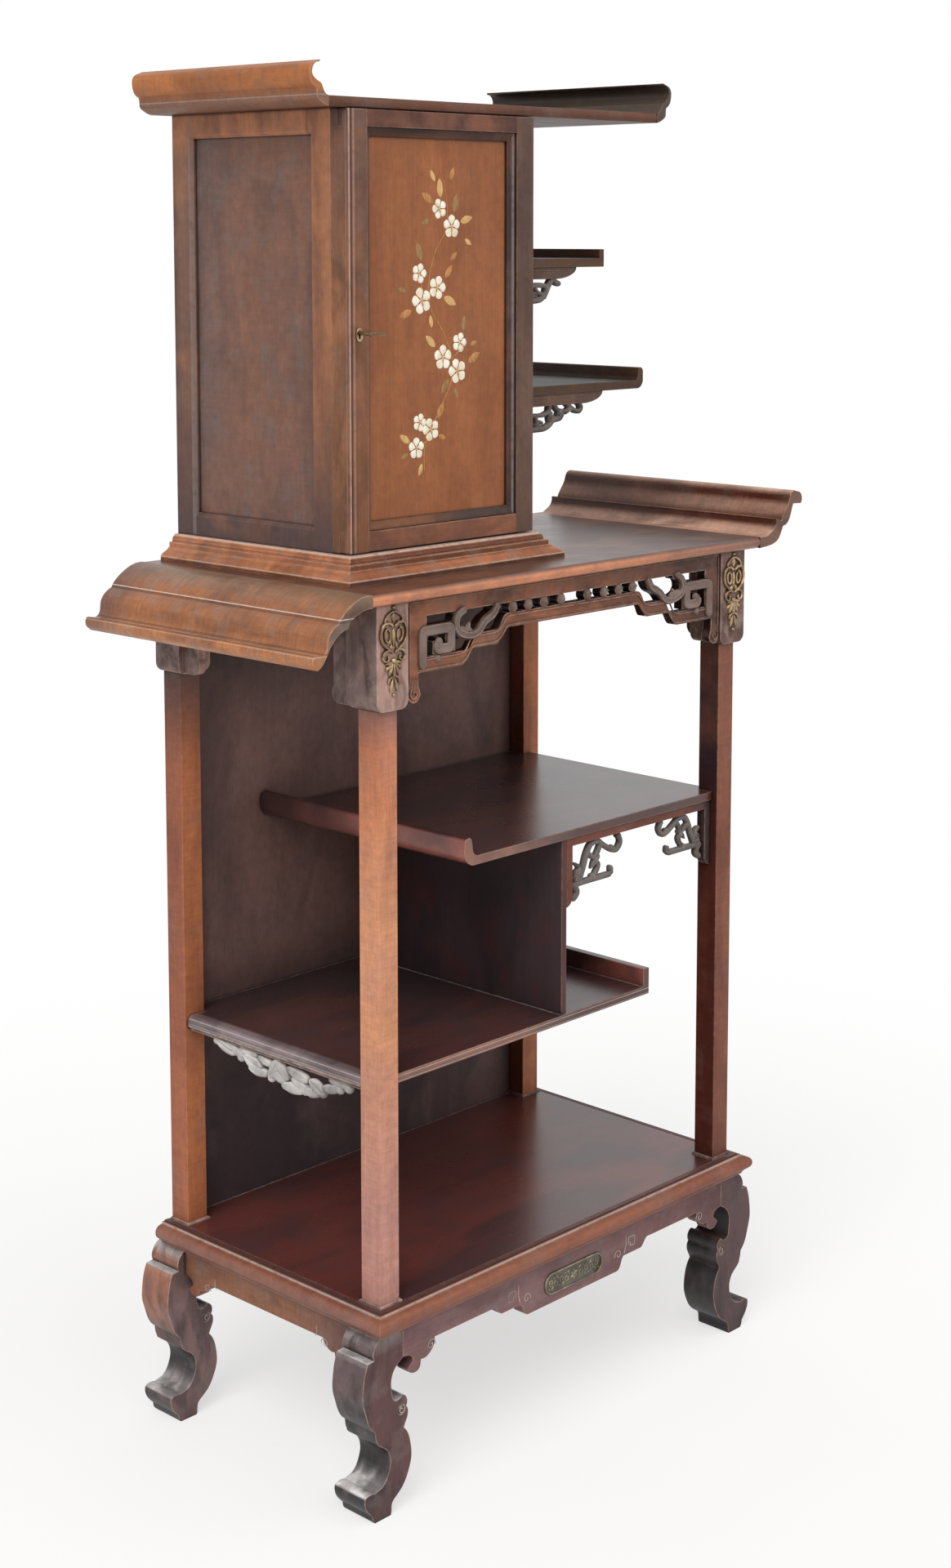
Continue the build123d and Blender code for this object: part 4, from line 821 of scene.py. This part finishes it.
# Darker towards the bottom, and darkest near the top: a painted shadow of the frieze, capitals and console.
wood("back_panel cabinet_back", "Z", shaded(123, 92, 85), shaded(58, 42, 44),
     film=shaded(94, 78, 78), stain=0.6, grain=0.05,
     fades=(("Z", 0.62, 0.50, shaded(58, 44, 47)), ("Z", 0.94, 1.05, shaded(40, 31, 29))), dust=1.0,
     gloss=0.5, cloud_size=0.17, seed=10.1, rounding=0.4)

# platform, legs and aprons
wood("platform_board", "X", shaded(102, 50, 44), shelf_black, film=shaded(66, 52, 54), stain=0.6,
     haze=0.35, cloud_size=0.15, seed=2.3, **POLISHED)
wood("platform_moulding", "X", seen(144, 94, 76), seen(106, 68, 60), film=seen(136, 112, 104),
     stain=0.45, haze=0.35, left=seen(142, 102, 90), fades=(("X", 0.12, 0.36, seen(116, 72, 60)),),
     lines=(("Z", moulding_top - 0.0012, moulding_top + 0.0040, shaded(84, 54, 52), 0.95),
            ("Z", moulding_top - 0.0038, moulding_top - 0.0016, seen(206, 188, 178), 0.7)),
     dust=1.0, wear_and_highlight=0.45, worn_and_highlit=srgb(208, 182, 168), hollow_shade=0.35, cloud_size=0.09, seed=9.1,
     rounding=0.5)
# Legs: pale upward faces are a painted highlight, and dark left faces, most of all low in the necks,
# painted shade.
wood("leg_front_left", "Z", seen(96, 70, 69), seen(50, 43, 45), film=seen(116, 104, 104), stain=0.7,
     haze=0.45, top=seen(250, 248, 248),
     left=("Z", 0.17, 0.12, seen(102, 88, 88), shaded(52, 52, 54)),
     fades=(("Z", 0.215, 0.235, seen(134, 122, 120)),), seed=11.3, rounding=2.4, **SCUFFED_AND_SHADED)
wood("leg_rear_left", "Z", seen(134, 108, 106), seen(60, 54, 56), film=seen(122, 112, 114),
     stain=0.6, top=seen(226, 222, 222),
     left=("Z", 0.15, 0.09, seen(160, 110, 90), shaded(48, 46, 48)), seed=11.9, rounding=2.4,
     **SCUFFED_AND_SHADED)
wood("leg_front_right leg_rear_right", "Z", seen(92, 70, 70), seen(48, 42, 44),
     film=seen(80, 74, 74), stain=0.6, left=shaded(50, 49, 50), dust=0.7, wear_and_highlight=0.9,
     worn_and_highlit=srgb(196, 158, 140), gloss=0.40, shine=0.3, hollow_shade=0.6, cloud_size=0.05, seed=12.6,
     rounding=2.4)
wood("apron_front apron_rear", "X", seen(126, 96, 96), seen(90, 70, 74), film=seen(130, 114, 114),
     fades=(("X", 0.0, 0.36, seen(96, 68, 66)),), dust=0.7, wear_and_highlight=0.7, hollow_shade=0.4, cloud_size=0.07,
     seed=12.2, rounding=1.5)
wood("apron_left apron_right", "Y", seen(146, 102, 80), seen(98, 72, 66), film=seen(132, 112, 106),
     stain=0.6, ripple=0.08, fades=(("Y", -0.04, -0.16, seen(118, 92, 88)),), wear_and_highlight=0.6, hollow_shade=0.6,
     cloud_size=0.06, seed=13.9, rounding=1.5)


# ---- metals, bone, veneer and carving ----
dark_carving = carved_wood("dark_carving", srgb(82, 72, 68), srgb(132, 126, 122))
# Its near-white upward faces are painted light over dust.
grey_carving = carved_wood("grey_carving", srgb(128, 121, 119), srgb(232, 229, 227), dust=0.6,
                           hollow_shade=0.85, chipped=0.2)
frieze_carving = carved_wood("frieze_carving", srgb(98, 74, 64), srgb(156, 144, 138), dust=0.4,
                             hollow_shade=0.9)
old_brass = brass("old_brass", srgb(132, 106, 80), srgb(246, 222, 176), metal=0.75)
plate_brass = brass("plate_brass", srgb(78, 70, 62), srgb(116, 108, 94), metal=0.4)
relief_brass = brass("relief_brass", srgb(112, 104, 88), srgb(180, 170, 146), metal=0.5)
key_brass = brass("key_brass", srgb(96, 78, 56), srgb(206, 176, 124))
iron = brass("lock_iron", srgb(52, 50, 48), srgb(96, 94, 90))
bone_white = bone("bone_white", srgb(244, 238, 222), srgb(222, 206, 176))
leaf_looks = (veneer("leaf_tan", srgb(160, 104, 52), srgb(190, 136, 78)),
              veneer("leaf_gold", srgb(190, 146, 86), srgb(214, 174, 116)),
              veneer("leaf_olive", srgb(128, 96, 54), srgb(158, 122, 72)))
grey_dust = settled_dust("grey_dust")
dress(old_brass, 0.25, "hinge_leaves_cabinet", "hinge_leaves_door", "hinge_pins", "escutcheon")
dress(key_brass, 0.25, "key")
dress(iron, 0.0, "lock_case", "lock_bolt", "lock_keeper")


# ---- door inlay ----
# Places across from the panel's middle and up from its lower groove, drawn for this height between
# the grooves. Blossoms have a radius; leaves and sprigs have a length and a direction in degrees.
drawn_height = 491
blossoms = ((-40, 96, 13), (-14, 118, 14), (-34, 128, 11), (34, 190, 15), (8, 208, 15), (38, 226, 12),
            (-30, 280, 16), (-2, 296, 14), (-34, 314, 12), (24, 372, 14), (2, 394, 12))
leaves = ((-2, 132, 22, 60), (-52, 104, 20, 150), (18, 180, 22, 235), (54, 200, 24, 30),
          (-6, 222, 22, 140), (44, 240, 20, 80), (-48, 268, 22, 200), (10, 284, 24, -25),
          (-30, 330, 24, 110), (12, 308, 20, 50), (40, 378, 22, 15), (28, 390, 24, 75),
          (-10, 402, 22, 150), (4, 408, 24, 95))
sprigs = ((-54, 90, 15, 205), (0, 110, 14, -20), (-30, 76, 16, 250), (30, 168, 14, 290),
          (58, 222, 13, 20), (-12, 246, 16, 100), (-58, 292, 14, 165), (22, 330, 15, 40),
          (48, 356, 14, -30), (-16, 380, 15, 200), (22, 430, 17, 70), (-6, 428, 16, 120))
stems = (((-26, 66), (-24, 100), (0, 140), (22, 176), (24, 206), (8, 240), (-14, 270),
          (-18, 300), (-6, 340), (12, 366), (16, 396), (10, 430)),
         ((-22, 104), (-34, 100), (-48, 104)), ((24, 206), (38, 218), (46, 240)),
         ((-16, 280), (-30, 296), (-32, 326)))


def door_inlay():
    """Five-petalled blossoms of bone with veneer leaves on thin stems, laid on the door panel."""
    low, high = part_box("door_panel")
    groove = 6
    spot = facing_front((low.x + high.x) / 2, low.y, low.z + groove * MM)
    rise = ((high.z - low.z) / MM - 2 * groove) / drawn_height
    petals = Shape(spot)
    hearts = Shape(spot)
    for x, z, size in blossoms:
        hearts.dome(x, z * rise, size * 0.14, 0.8)
        for turn in range(12, 372, 36):
            hearts.dome(*away(x, z * rise, size * 0.30, turn), 0.6, 0.85, rings=2, around=6)
        for turn in range(90 + 9 * x, 450 + 9 * x, 72):
            petals.lobe(*away(x, z * rise, size * 0.12, turn), size * 0.96, size * 0.84, 0.9, turn,
                        notch=0.2, tip=1.5)
    petals.piece("inlay_petals", bone_white, "bone_inlay", "door", ["door_inlay"])
    hearts.piece("inlay_flower_hearts", leaf_looks[1], "bone_inlay", "door")
    blades = [Shape(spot) for look in leaf_looks]
    for number, (x, z, length, turn) in enumerate(leaves + sprigs):
        blades[number % 3].lobe(x, z * rise, length, length * 0.44, 0.6, turn, tip=0.9)
    for kind, look in enumerate(leaf_looks):
        blades[kind].piece(f"inlay_leaves_{kind}", look, "bone_inlay", "door")
    twigs = Shape(spot)
    for points in stems:
        twigs.band([(x, z * rise) for x, z in points], 1.4, 0.4, end=0.5)
    twigs.piece("inlay_stems", leaf_looks[0], "bone_inlay", "door")


door_inlay()


# ---- metal mounts ----
def capital_mount(shape, word):
    """The pierced brass mount on a front capital: ogee, hearts, scrolls, palmette and tassel."""
    low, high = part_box("post_front_" + word)
    face_low, face_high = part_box("capital_front_" + word)
    face = facing_front((low.x + high.x) / 2, face_low.y, face_high.z)
    wider, taller, bolder = 1.14, 1.1, 1.4
    shape.spot = lambda across, up, out: face(across * wider, up * taller, out * bolder)
    shape.dome(0, -4, 2.3, 2.6)
    shape.lobe(0, -21, 12, 7, 2.2, 90, tip=1.2)
    shape.lobe(0, -27, 20, 6, 2.2, -90, tip=0.8)
    for side in (-1, 1):
        def curve(width, thick, *points, **more):
            shape.band([(side * x, y) for x, y in points], width, thick, **more)

        curve(2.6, 2.4, (0, -8), (5, -10), (10, -13), (13, -18), (10, -22), (6, -19), end=0.6)
        curve(3.0, 2.8, (1, -25), (7, -21), (15, -22), (19, -31), (17, -41), (10, -48), (2, -53))
        curve(2.4, 2.2, (9, -26), (13, -31), (12, -39), (7, -42), (5, -36), (6, -30), (9, -28), end=0.6)
        curve(2.8, 2.6, (1, -54), (7, -51), (14, -53), (16, -59), (12, -63), (8, -61), (9, -57), end=0.6)
        curve(2.2, 2.0, (2, -80), (7, -83), (8, -88), end=0.5)
        shape.lobe(side * 3, -44, 9, 4, 2.0, side * 20 - 90, tip=0.9)
        for lean, length in ((24, 17), (52, 15), (82, 12)):
            shape.lobe(side * 0.6, -64, length, 5.4, 2.6, side * lean - 90, tip=1.4)
        shape.lobe(side * 1.5, -83, 15, 4.4, 2.2, side * 16 - 90, tip=0.9)
    shape.lobe(0, -64, 18, 5.6, 3.0, -90, tip=1.4)
    shape.dome(0, -63, 3.4, 3.2)
    shape.dome(0, -101, 2.2, 2.4)


def cartouche():
    """A brass plate with round ends, a beaded rim and a running vine with a rosette."""
    low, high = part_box("apron_cartouche")
    spot = facing_front((low.x + high.x) / 2, high.y, (low.z + high.z) / 2)
    long = (high.x - low.x) / MM / 2
    tall = (high.z - low.z) / MM / 2

    def stadium(inset):
        return [away(side * (long - tall), 0, tall - inset, 15 * step - 90 * side)
                for side in (1, -1) for step in range(13)]

    base = Shape(spot)
    base.plate(stadium(0.2), 1.1, front=1.1, chamfer=0.3)
    base.piece("apron_cartouche_plate", plate_brass, "aged_brass", "cabinet", ["apron_cartouche"])
    relief = Shape(spot)
    rim = stadium(1.7)
    relief.band(rim + rim[:1], 2.6, 2.3, steps=0)
    for turn in range(30, 390, 60):
        relief.lobe(0, 0, 7.5, 5.0, 2.2, turn, tip=1.3)
    relief.dome(0, 0, 2.2, 2.6, rings=3, around=8)
    for side in (-1, 1):
        for number, x in enumerate((14, 25, 36, 46)):
            hand = 1 if number % 2 else -1
            curl = spiral(side * x, hand * 1.5, 5.0, 1.2, 90 * hand * side, side * hand)
            relief.band(curl, 1.5, 2.0, steps=2)
            lean = -hand * 55 * side + (0 if side > 0 else 180)
            relief.lobe(side * (x - 5), -hand * 3, 7.5, 3.4, 2.0, lean, tip=1.1)
            relief.dome(side * (x + 4), -hand * 6.5, 1.4, 2.0, rings=3, around=8)
    relief.piece("apron_cartouche_relief", relief_brass, "aged_brass", "cabinet")


mounts = Shape()
for word in ("left", "right"):
    capital_mount(mounts, word)
mounts.piece("capital_mounts_cast", old_brass, "aged_brass", "cabinet", ["capital_mounts"])
cartouche()


# ---- carved brackets ----
# Their points are (out, down) from the corner that the bracket sits in.
def fret(word):
    """The pierced bracket of scrolls in a corner under the upper shelf."""
    low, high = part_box("fret_" + word)
    side = 1 if word == "left" else -1
    # The bay on the right is narrower, so its bracket is drawn smaller.
    wide, tall = (1.0, 1.0) if word == "left" else (0.93, 0.90)
    shape = Shape(facing_front(low.x if side > 0 else high.x, low.y, high.z, side))

    def curl(width, *points, **more):
        shape.rod([(out * wide, -down * tall) for out, down in points], width, 10, **more)

    curl(7.5, (99, 2), (103, 14), (96, 23), (86, 22), (75, 16), (64, 9), (57, 3))
    curl(8.5, (53, 3), (41, 7), (33, 19), (28, 32), (23, 43), (18, 55))
    curl(7, (62, 9), (56, 19), (51, 27), (57, 37), (51, 48), (44, 54), section=CREASED)
    curl(7, (36, 17), (45, 24), (52, 27), end=0.7)
    curl(7, (8, 26), (16, 31), (19, 40), (12, 47), (10, 54), start=0.5, section=CREASED)
    curl(8, (2, 56), (30, 55), (60, 55), (84, 55))
    curl(7, (83, 43), (84, 49), (84, 56))
    curl(10, (4.5, 53), (11, 60), (14, 67), (8, 73), (3, 72))
    curl(9, (60, 24), (50, 31), (42, 40), leaf=True, section=CREASED)
    curl(8, (22, 34), (12, 40), (6, 46), leaf=True, section=CREASED)
    for out, down, radius in ((99, 4, 5), (54, 4, 5.5), (86, 20, 5), (46, 52, 5.5), (14, 48, 5)):
        shape.ball(out * wide, -down * tall, radius, 11)
    shape.piece(f"fret_{word}_carved", dark_carving, "carved_wood", "cabinet", ["fret_" + word])


def side_console(word, curls, leaves_at):
    """The bracket under a side shelf's front edge: a quarter-round board and pierced scrolls."""
    low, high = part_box("side_console_" + word)
    spot = facing_front(low.x, low.y, high.z)
    end = (high.x - low.x) / MM
    drop = 15.5
    rounding = 42
    bend = math.degrees(0.3)
    outline = [(0, 0), (end, 0)]
    for step in range(1, 9):
        angle = math.radians(90 * step / 8)
        outline.append((end - rounding * (1 - math.cos(angle)), -drop * math.sin(angle)))
    outline.append((0, -drop))
    board = Shape(spot)
    board.plate(outline, 12, chamfer=1.2)
    board.band([(1, -4), (end - 8, -4)], 2.0, 0.9)
    board.piece(f"side_console_{word}_board", plain_wood, "carved_wood", "cabinet",
                ["side_console_" + word])
    scrolls = Shape(spot)
    for width, points in curls:
        scrolls.rod([(out, -drop - down) for out, down in points], width, 11, front=-0.5)
    for out, down, length, turn in leaves_at:
        stem = (out, -drop - down)
        points = [stem, away(*stem, length / 2, turn), away(*stem, length, turn + bend)]
        scrolls.rod(points, length * 0.42, 12, leaf=True, section=CREASED)
    scrolls.piece(f"side_console_{word}_scrolls", dark_carving, "carved_wood", "cabinet")


# Curls are (width, points); leaves are (out, down, length, direction in degrees).
upper_curls = (
    (8, ((91, -3), (96, 4), (106, 7))),
    (9, ((90, -2), (82, 9), (75, 20), (64, 27), (46, 28), (26, 28), (3, 27))),
    (7, ((80, 10), (68, 8), (54, 8), (40, 10), (22, 8), (2, 10))),
    (6, ((54, 10), (60, 17), (70, 20))),
    (6, ((22, 9), (26, 18), (20, 27))),
)
upper_leaves = ((84, 6, 22, 232), (60, 22, 22, 170), (30, 12, 18, 200))
lower_curls = (
    (7, ((142, -3), (149, 4), (146, 10), (137, 9), (126, 3), (117, -3))),
    (7, ((128, 4), (119, 9), (110, 9), (101, 6), (93, -3))),
    (8, ((112, 9), (107, 17), (98, 19), (86, 20))),
    (8, ((96, 15), (86, 25), (74, 30), (58, 31), (38, 31), (20, 31), (3, 30))),
    (7, ((86, -3), (84, 8), (90, 16))),
    (6, ((84, 8), (72, 12), (58, 12), (44, 12), (24, 11), (2, 12))),
    (6, ((58, 12), (58, 22), (66, 29))),
    (6, ((28, 11), (30, 22), (24, 30))),
    (6, ((46, -3), (44, 6), (38, 12))),
)
lower_leaves = ((112, 6, 20, 215), (90, 8, 20, 240), (72, 22, 24, 190), (40, 14, 20, 230),
                (132, 6, 16, 190))
for word in ("left", "right"):
    fret(word)
side_console("upper", upper_curls, upper_leaves)
side_console("lower", lower_curls, lower_leaves)


# ---- carved edge of the lower shelf ----
# Leaves run from a share of the edge and a drop to another share and drop, and have a width;
# knobs have a share, a drop and a radius.
openwork_leaves = (
    (0.02, 2, 0.17, 13, 17), (0.10, 2, 0.23, 13, 13), (0.19, 5, 0.33, 5, 11), (0.23, 10, 0.36, 22, 20),
    (0.26, 25, 0.40, 26, 13), (0.33, 6, 0.43, 12, 11), (0.41, 30, 0.48, 1, 17), (0.46, 3, 0.55, 24, 15),
    (0.43, 18, 0.53, 27, 15), (0.50, 32, 0.66, 31, 15), (0.54, 8, 0.69, 16, 15), (0.57, 20, 0.68, 27, 13),
    (0.70, 13, 0.80, 25, 19), (0.66, 30, 0.77, 27, 13), (0.78, 19, 0.91, 11, 13), (0.83, 4, 0.97, 5, 11))
openwork_knobs = ((0.02, 5, 6), (0.20, 16, 7), (0.33, 27, 7), (0.42, 30, 6), (0.52, 33, 6.5),
                  (0.66, 30, 8), (0.78, 25, 8), (0.90, 13, 7), (0.96, 8, 7))


def shelf_edge():
    """The moulded strip along the lower shelf's left edge and the leafy openwork that hangs from it."""
    low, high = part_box("shelf_edge_carving")
    profile = ((0.0, 0.0), (-0.6, -1.5), (0.6, -2.6), (2.2, -3.2), (3.0, -4.6), (3.4, -7.0), (20, -7.0),
               (20, 0.0))
    strip = Shape()
    strip.strips([[(low.x + x * MM, y, high.z + z * MM) for x, z in profile] for y in (low.y, high.y)])
    strip.piece("shelf_edge_strip", capital_wood, "carved_wood", "cabinet",
                ["shelf_edge_carving"])
    inset = 6
    margin = 34
    forward = 11
    middle = (low.y + high.y) / 2 - forward * MM
    half = (high.y - low.y) / MM / 2 - margin
    work = Shape(facing_side(low.x + inset * MM, middle, high.z - inset * MM))
    for begin, down, finish, drop, width in openwork_leaves:
        points = [(half * (1 - 2 * begin), -down),
                  (half * (1 - begin - finish), -(down + drop) / 2 - 1.5),
                  (half * (1 - 2 * finish), -drop)]
        work.rod(points, width, 10, front=width / 6, start=0.6, end=0.75,
                 section=CREASED if width > 16 else FULL)
    for place, down, radius in openwork_knobs:
        work.ball(half * (1 - 2 * place), -down, radius, 11, front=2)
    work.piece("shelf_edge_openwork", grey_carving, "carved_wood", "cabinet")


shelf_edge()


# ---- relief of the frieze ----
def frieze_relief():
    """Beads along the stepped bar, the rounded key, the rimmed vine and the knobs of the frieze."""
    low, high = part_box("front_frieze")
    edge = (high.x - low.x) / MM / 2
    end = edge - 18
    # Levels down from the top edge: the three steps of the bar and the row of knobs.
    foot = 91
    mid = foot - 19
    head = mid - 18.5
    knob = 28.75
    bars = Shape()
    carved = Shape()

    def line(*points, corner=None):
        """Points (across, down) as (across, up), with round corners where a radius is given."""
        raised = [(x, -down) for x, down in points]
        return bent_line(raised, corner) if corner else raised

    for side in (-1, 1):
        bars.spot = facing_front((low.x + high.x) / 2, low.y, high.z, side)
        carved.spot = bars.spot
        for inset, width in ((2.6, 2.6), (14.6, 2.2)):
            steps = line((end - 1, foot - inset), (end - 75, foot - inset), (end - 84, foot - inset - 3),
                         (end - 96 + inset * 0.2, mid - inset), (end - 137, mid - inset),
                         (end - 147, mid - inset - 4), (end - 160, head - inset), (0, head - inset),
                         corner=5)
            bars.band(steps, width, 1.3, steps=0)
        bars.band(line((edge - 2, 3), (0, 3), corner=3), 2.4, 1.2, steps=0)
        bars.band(line((edge - 3.5, 5), (edge - 3.5, 104), corner=3), 2.2, 1.2, steps=0)
        bars.band(spiral(edge - 11, -116, 8, 1.2, 60, -1), 2.4, 1.6, steps=2)
        key = line((end - 7, foot - 3), (end - 7, 40.5), (end - 56.5, 40.5), (end - 56.5, 65.5),
                   (end - 31.5, 65.5), (end - 31.5, 56), corner=5)
        carved.band(key, 12, 3.4, steps=0, section=RIMMED)
        carved.dome(end - 36, -57, 6, 4.2)
        carved.dome(end - 34, -77, 5, 3.4)
        vine = line((end - 82, 20), (end - 69, 27), (end - 65, 39), (end - 72, 50), (end - 90, 55),
                    (end - 105, 52), (end - 116, 41), (end - 132, 33), (end - 141, 20))
        carved.band(vine, 8, 4.4, section=RIMMED)
        for inwards, down, length, turn in ((70, 44, 20, 200), (96, 54, 18, 40), (112, 44, 20, 150),
                                            (82, 52, 16, 120)):
            carved.lobe(end - inwards, -down, length, length * 0.46, 4.6, turn, tip=0.9)
        for x in (26, 59, 89, 118):
            carved.dome(x, -knob, 6.4, 4.0)
            carved.band(spiral(x, -knob, 4.8, 1.0, 0, side), 1.4, 4.6, steps=2)
    bars.piece("frieze_beads", frieze_wood, "carved_wood", "cabinet")
    carved.piece("frieze_carving", frieze_carving, "carved_wood", "cabinet")


frieze_relief()


# ---- incised curls and foot beads ----
corners = ("front_left", "front_right", "rear_left", "rear_right")


def incised():
    """Dusty lines cut in the aprons and in the legs."""
    lines = Shape()

    def cut(points, width, depth=0.35, **more):
        lines.band(points, width, depth, **more)

    low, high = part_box("apron_front")
    for side in (-1, 1):
        lines.spot = facing_front(0, low.y, high.z, side)
        cut(spiral(272, -39, 8, 1.3, 200, -1), 1.3, steps=3)
        cut(spiral(93, -38, 7.5, 1.2, 200, -1), 1.3, steps=3)
        cut([(109, -15), (109.5, -28), (106, -40)], 1.1)
        key = [(115, -32), (115, -20), (128, -20), (128, -33), (119, -33), (119, -27)]
        cut(bent_line(key, 1.5), 1.1, steps=0)
    for word, side in (("left", -1), ("right", 1)):
        low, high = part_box("apron_" + word)
        span = (high.y - low.y) / MM / 2
        for end in (-1, 1):
            lines.spot = facing_side(low.x if side < 0 else high.x, (low.y + high.y) / 2, high.z, side, end)
            cut(spiral(span - 46, -40, 7, 1.2, 200, -1), 1.2, steps=3)
            cut([(span - 62, -22), (span - 61, -30), (span - 64, -36)], 1.0, 0.3)
    for word in corners:
        side = -1 if "left" in word else 1
        post_low, post_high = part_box("post_" + word)
        outer = post_low.x if side < 0 else post_high.x
        lines.spot = facing_front(outer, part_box("leg_" + word)[0].y, 0, side)
        cut(spiral(-25, 132, 6.5, 1.2, 100, 1), 1.1, steps=3)
    lines.piece("incised_lines", grey_dust, "red_wood", "cabinet")


def foot_beads():
    """A thin quarter-round bead round the foot of each post, flush at the back of the rear ones."""
    section = ((-0.5, 3.0), (1.0, 2.8), (2.4, 1.6), (2.8, -0.2))
    beads = Shape()
    for word in corners:
        low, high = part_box("post_" + word)
        rows = []
        for out, up in section:
            left = low.x - out * MM
            right = high.x + out * MM
            front = low.y - out * MM
            back = high.y + (0 if "rear" in word else out * MM)
            level = low.z + up * MM
            rows.append([(left, front, level), (right, front, level), (right, back, level),
                         (left, back, level)])
        beads.strips(rows)
    beads.piece("post_foot_beads", capital_wood, "red_wood", "cabinet")


incised()
foot_beads()


# ---- stage, lights and camera ----
def make_world():
    """Even pale light, seen as white by the camera and in reflections."""
    # The strength of the light that falls on the cabinet, where the white that is seen is 1.
    dimmed = 0.38
    world = bpy.data.worlds.new("studio")
    bpy.context.scene.world = world
    graph = Graph(world, "Background")
    graph.set(Color=WHITE, Strength=graph.spread(graph.looked_at(), 0.0, 1.0, dimmed, 1.0))


def make_floor():
    """A pale floor that keeps the cabinet's shadow and meets the backdrop without a line."""
    half = 40.0
    # Between these distances from the cabinet's middle the floor turns into the white backdrop.
    near, far = 0.5, 2.0
    corner_places = [(-half, -half, 0), (half, -half, 0), (half, half, 0), (-half, half, 0)]
    mesh = bpy.data.meshes.new("floor")
    mesh.from_pydata(corner_places, [], [(0, 1, 2, 3)])
    floor = bpy.data.objects.new("floor", mesh)
    bpy.context.scene.collection.objects.link(floor)
    graph = new_material("pale_floor")
    colour = graph.ramp(graph.noise(3), (0.3, srgb(252, 252, 252)), (0.7, srgb(254, 254, 254)))
    graph.set(Base_Color=colour, Roughness=0.9, Specular_IOR_Level=0.0)
    glow = graph.add("Emission", Color=WHITE, Strength=1.0)
    distance = graph.add("VectorMath", Vector=graph.place())
    distance.operation = "LENGTH"
    whiteness = graph.spread(distance.outputs["Value"], near, far, 0.6, 1.0)
    blend = graph.add("MixShader", Fac=graph.times(graph.looked_at(), whiteness))
    graph.feed(blend.inputs[1], graph.shader.outputs[0])
    graph.feed(blend.inputs[2], glow.outputs[0])
    graph.feed(graph.tree.nodes["Material Output"].inputs["Surface"], blend.outputs[0])
    mesh.materials.append(graph.owner)


def sun(name, direction, strength, spread):
    """A broad distant lamp of warm light, shining from a direction, its spread in degrees."""
    lamp = bpy.data.lights.new(name, "SUN")
    lamp.energy = strength
    lamp.angle = math.radians(spread)
    lamp.color = (1.0, 0.98, 0.95)
    rig = bpy.data.objects.new(name, lamp)
    bpy.context.scene.collection.objects.link(rig)
    rig.rotation_mode = "QUATERNION"
    rig.rotation_quaternion = Vector(direction).to_track_quat("Z", "Y")


def make_camera():
    """Eye height, seen from the front left, with the lens shifted down to keep uprights upright."""
    focal_pixels = 2940
    frame_pixels = 1920
    horizon_pixels = 642.5
    # The eye's place in metres, and how far it looks down and to the side in radians.
    eye = (-2.3254, -2.23135, 1.5912)
    dip = 0.121
    heading = -0.812
    camera = bpy.data.cameras.new("camera")
    camera.sensor_width = 36.0
    camera.lens = focal_pixels / frame_pixels * camera.sensor_width
    camera.shift_y = (horizon_pixels - frame_pixels / 2) / frame_pixels
    camera.clip_end = 200.0
    rig = bpy.data.objects.new("camera", camera)
    bpy.context.scene.collection.objects.link(rig)
    rig.location = eye
    rig.rotation_euler = (math.pi / 2 - dip, 0.0, heading)
    bpy.context.scene.camera = rig


make_world()
make_floor()
sun("key", direction=(-1.0, -0.45, 1.15), strength=1.9, spread=40)
sun("fill", direction=(0.35, -1.0, 0.6), strength=1.0, spread=80)
make_camera()
bpy.context.scene.view_settings.view_transform = "Standard"
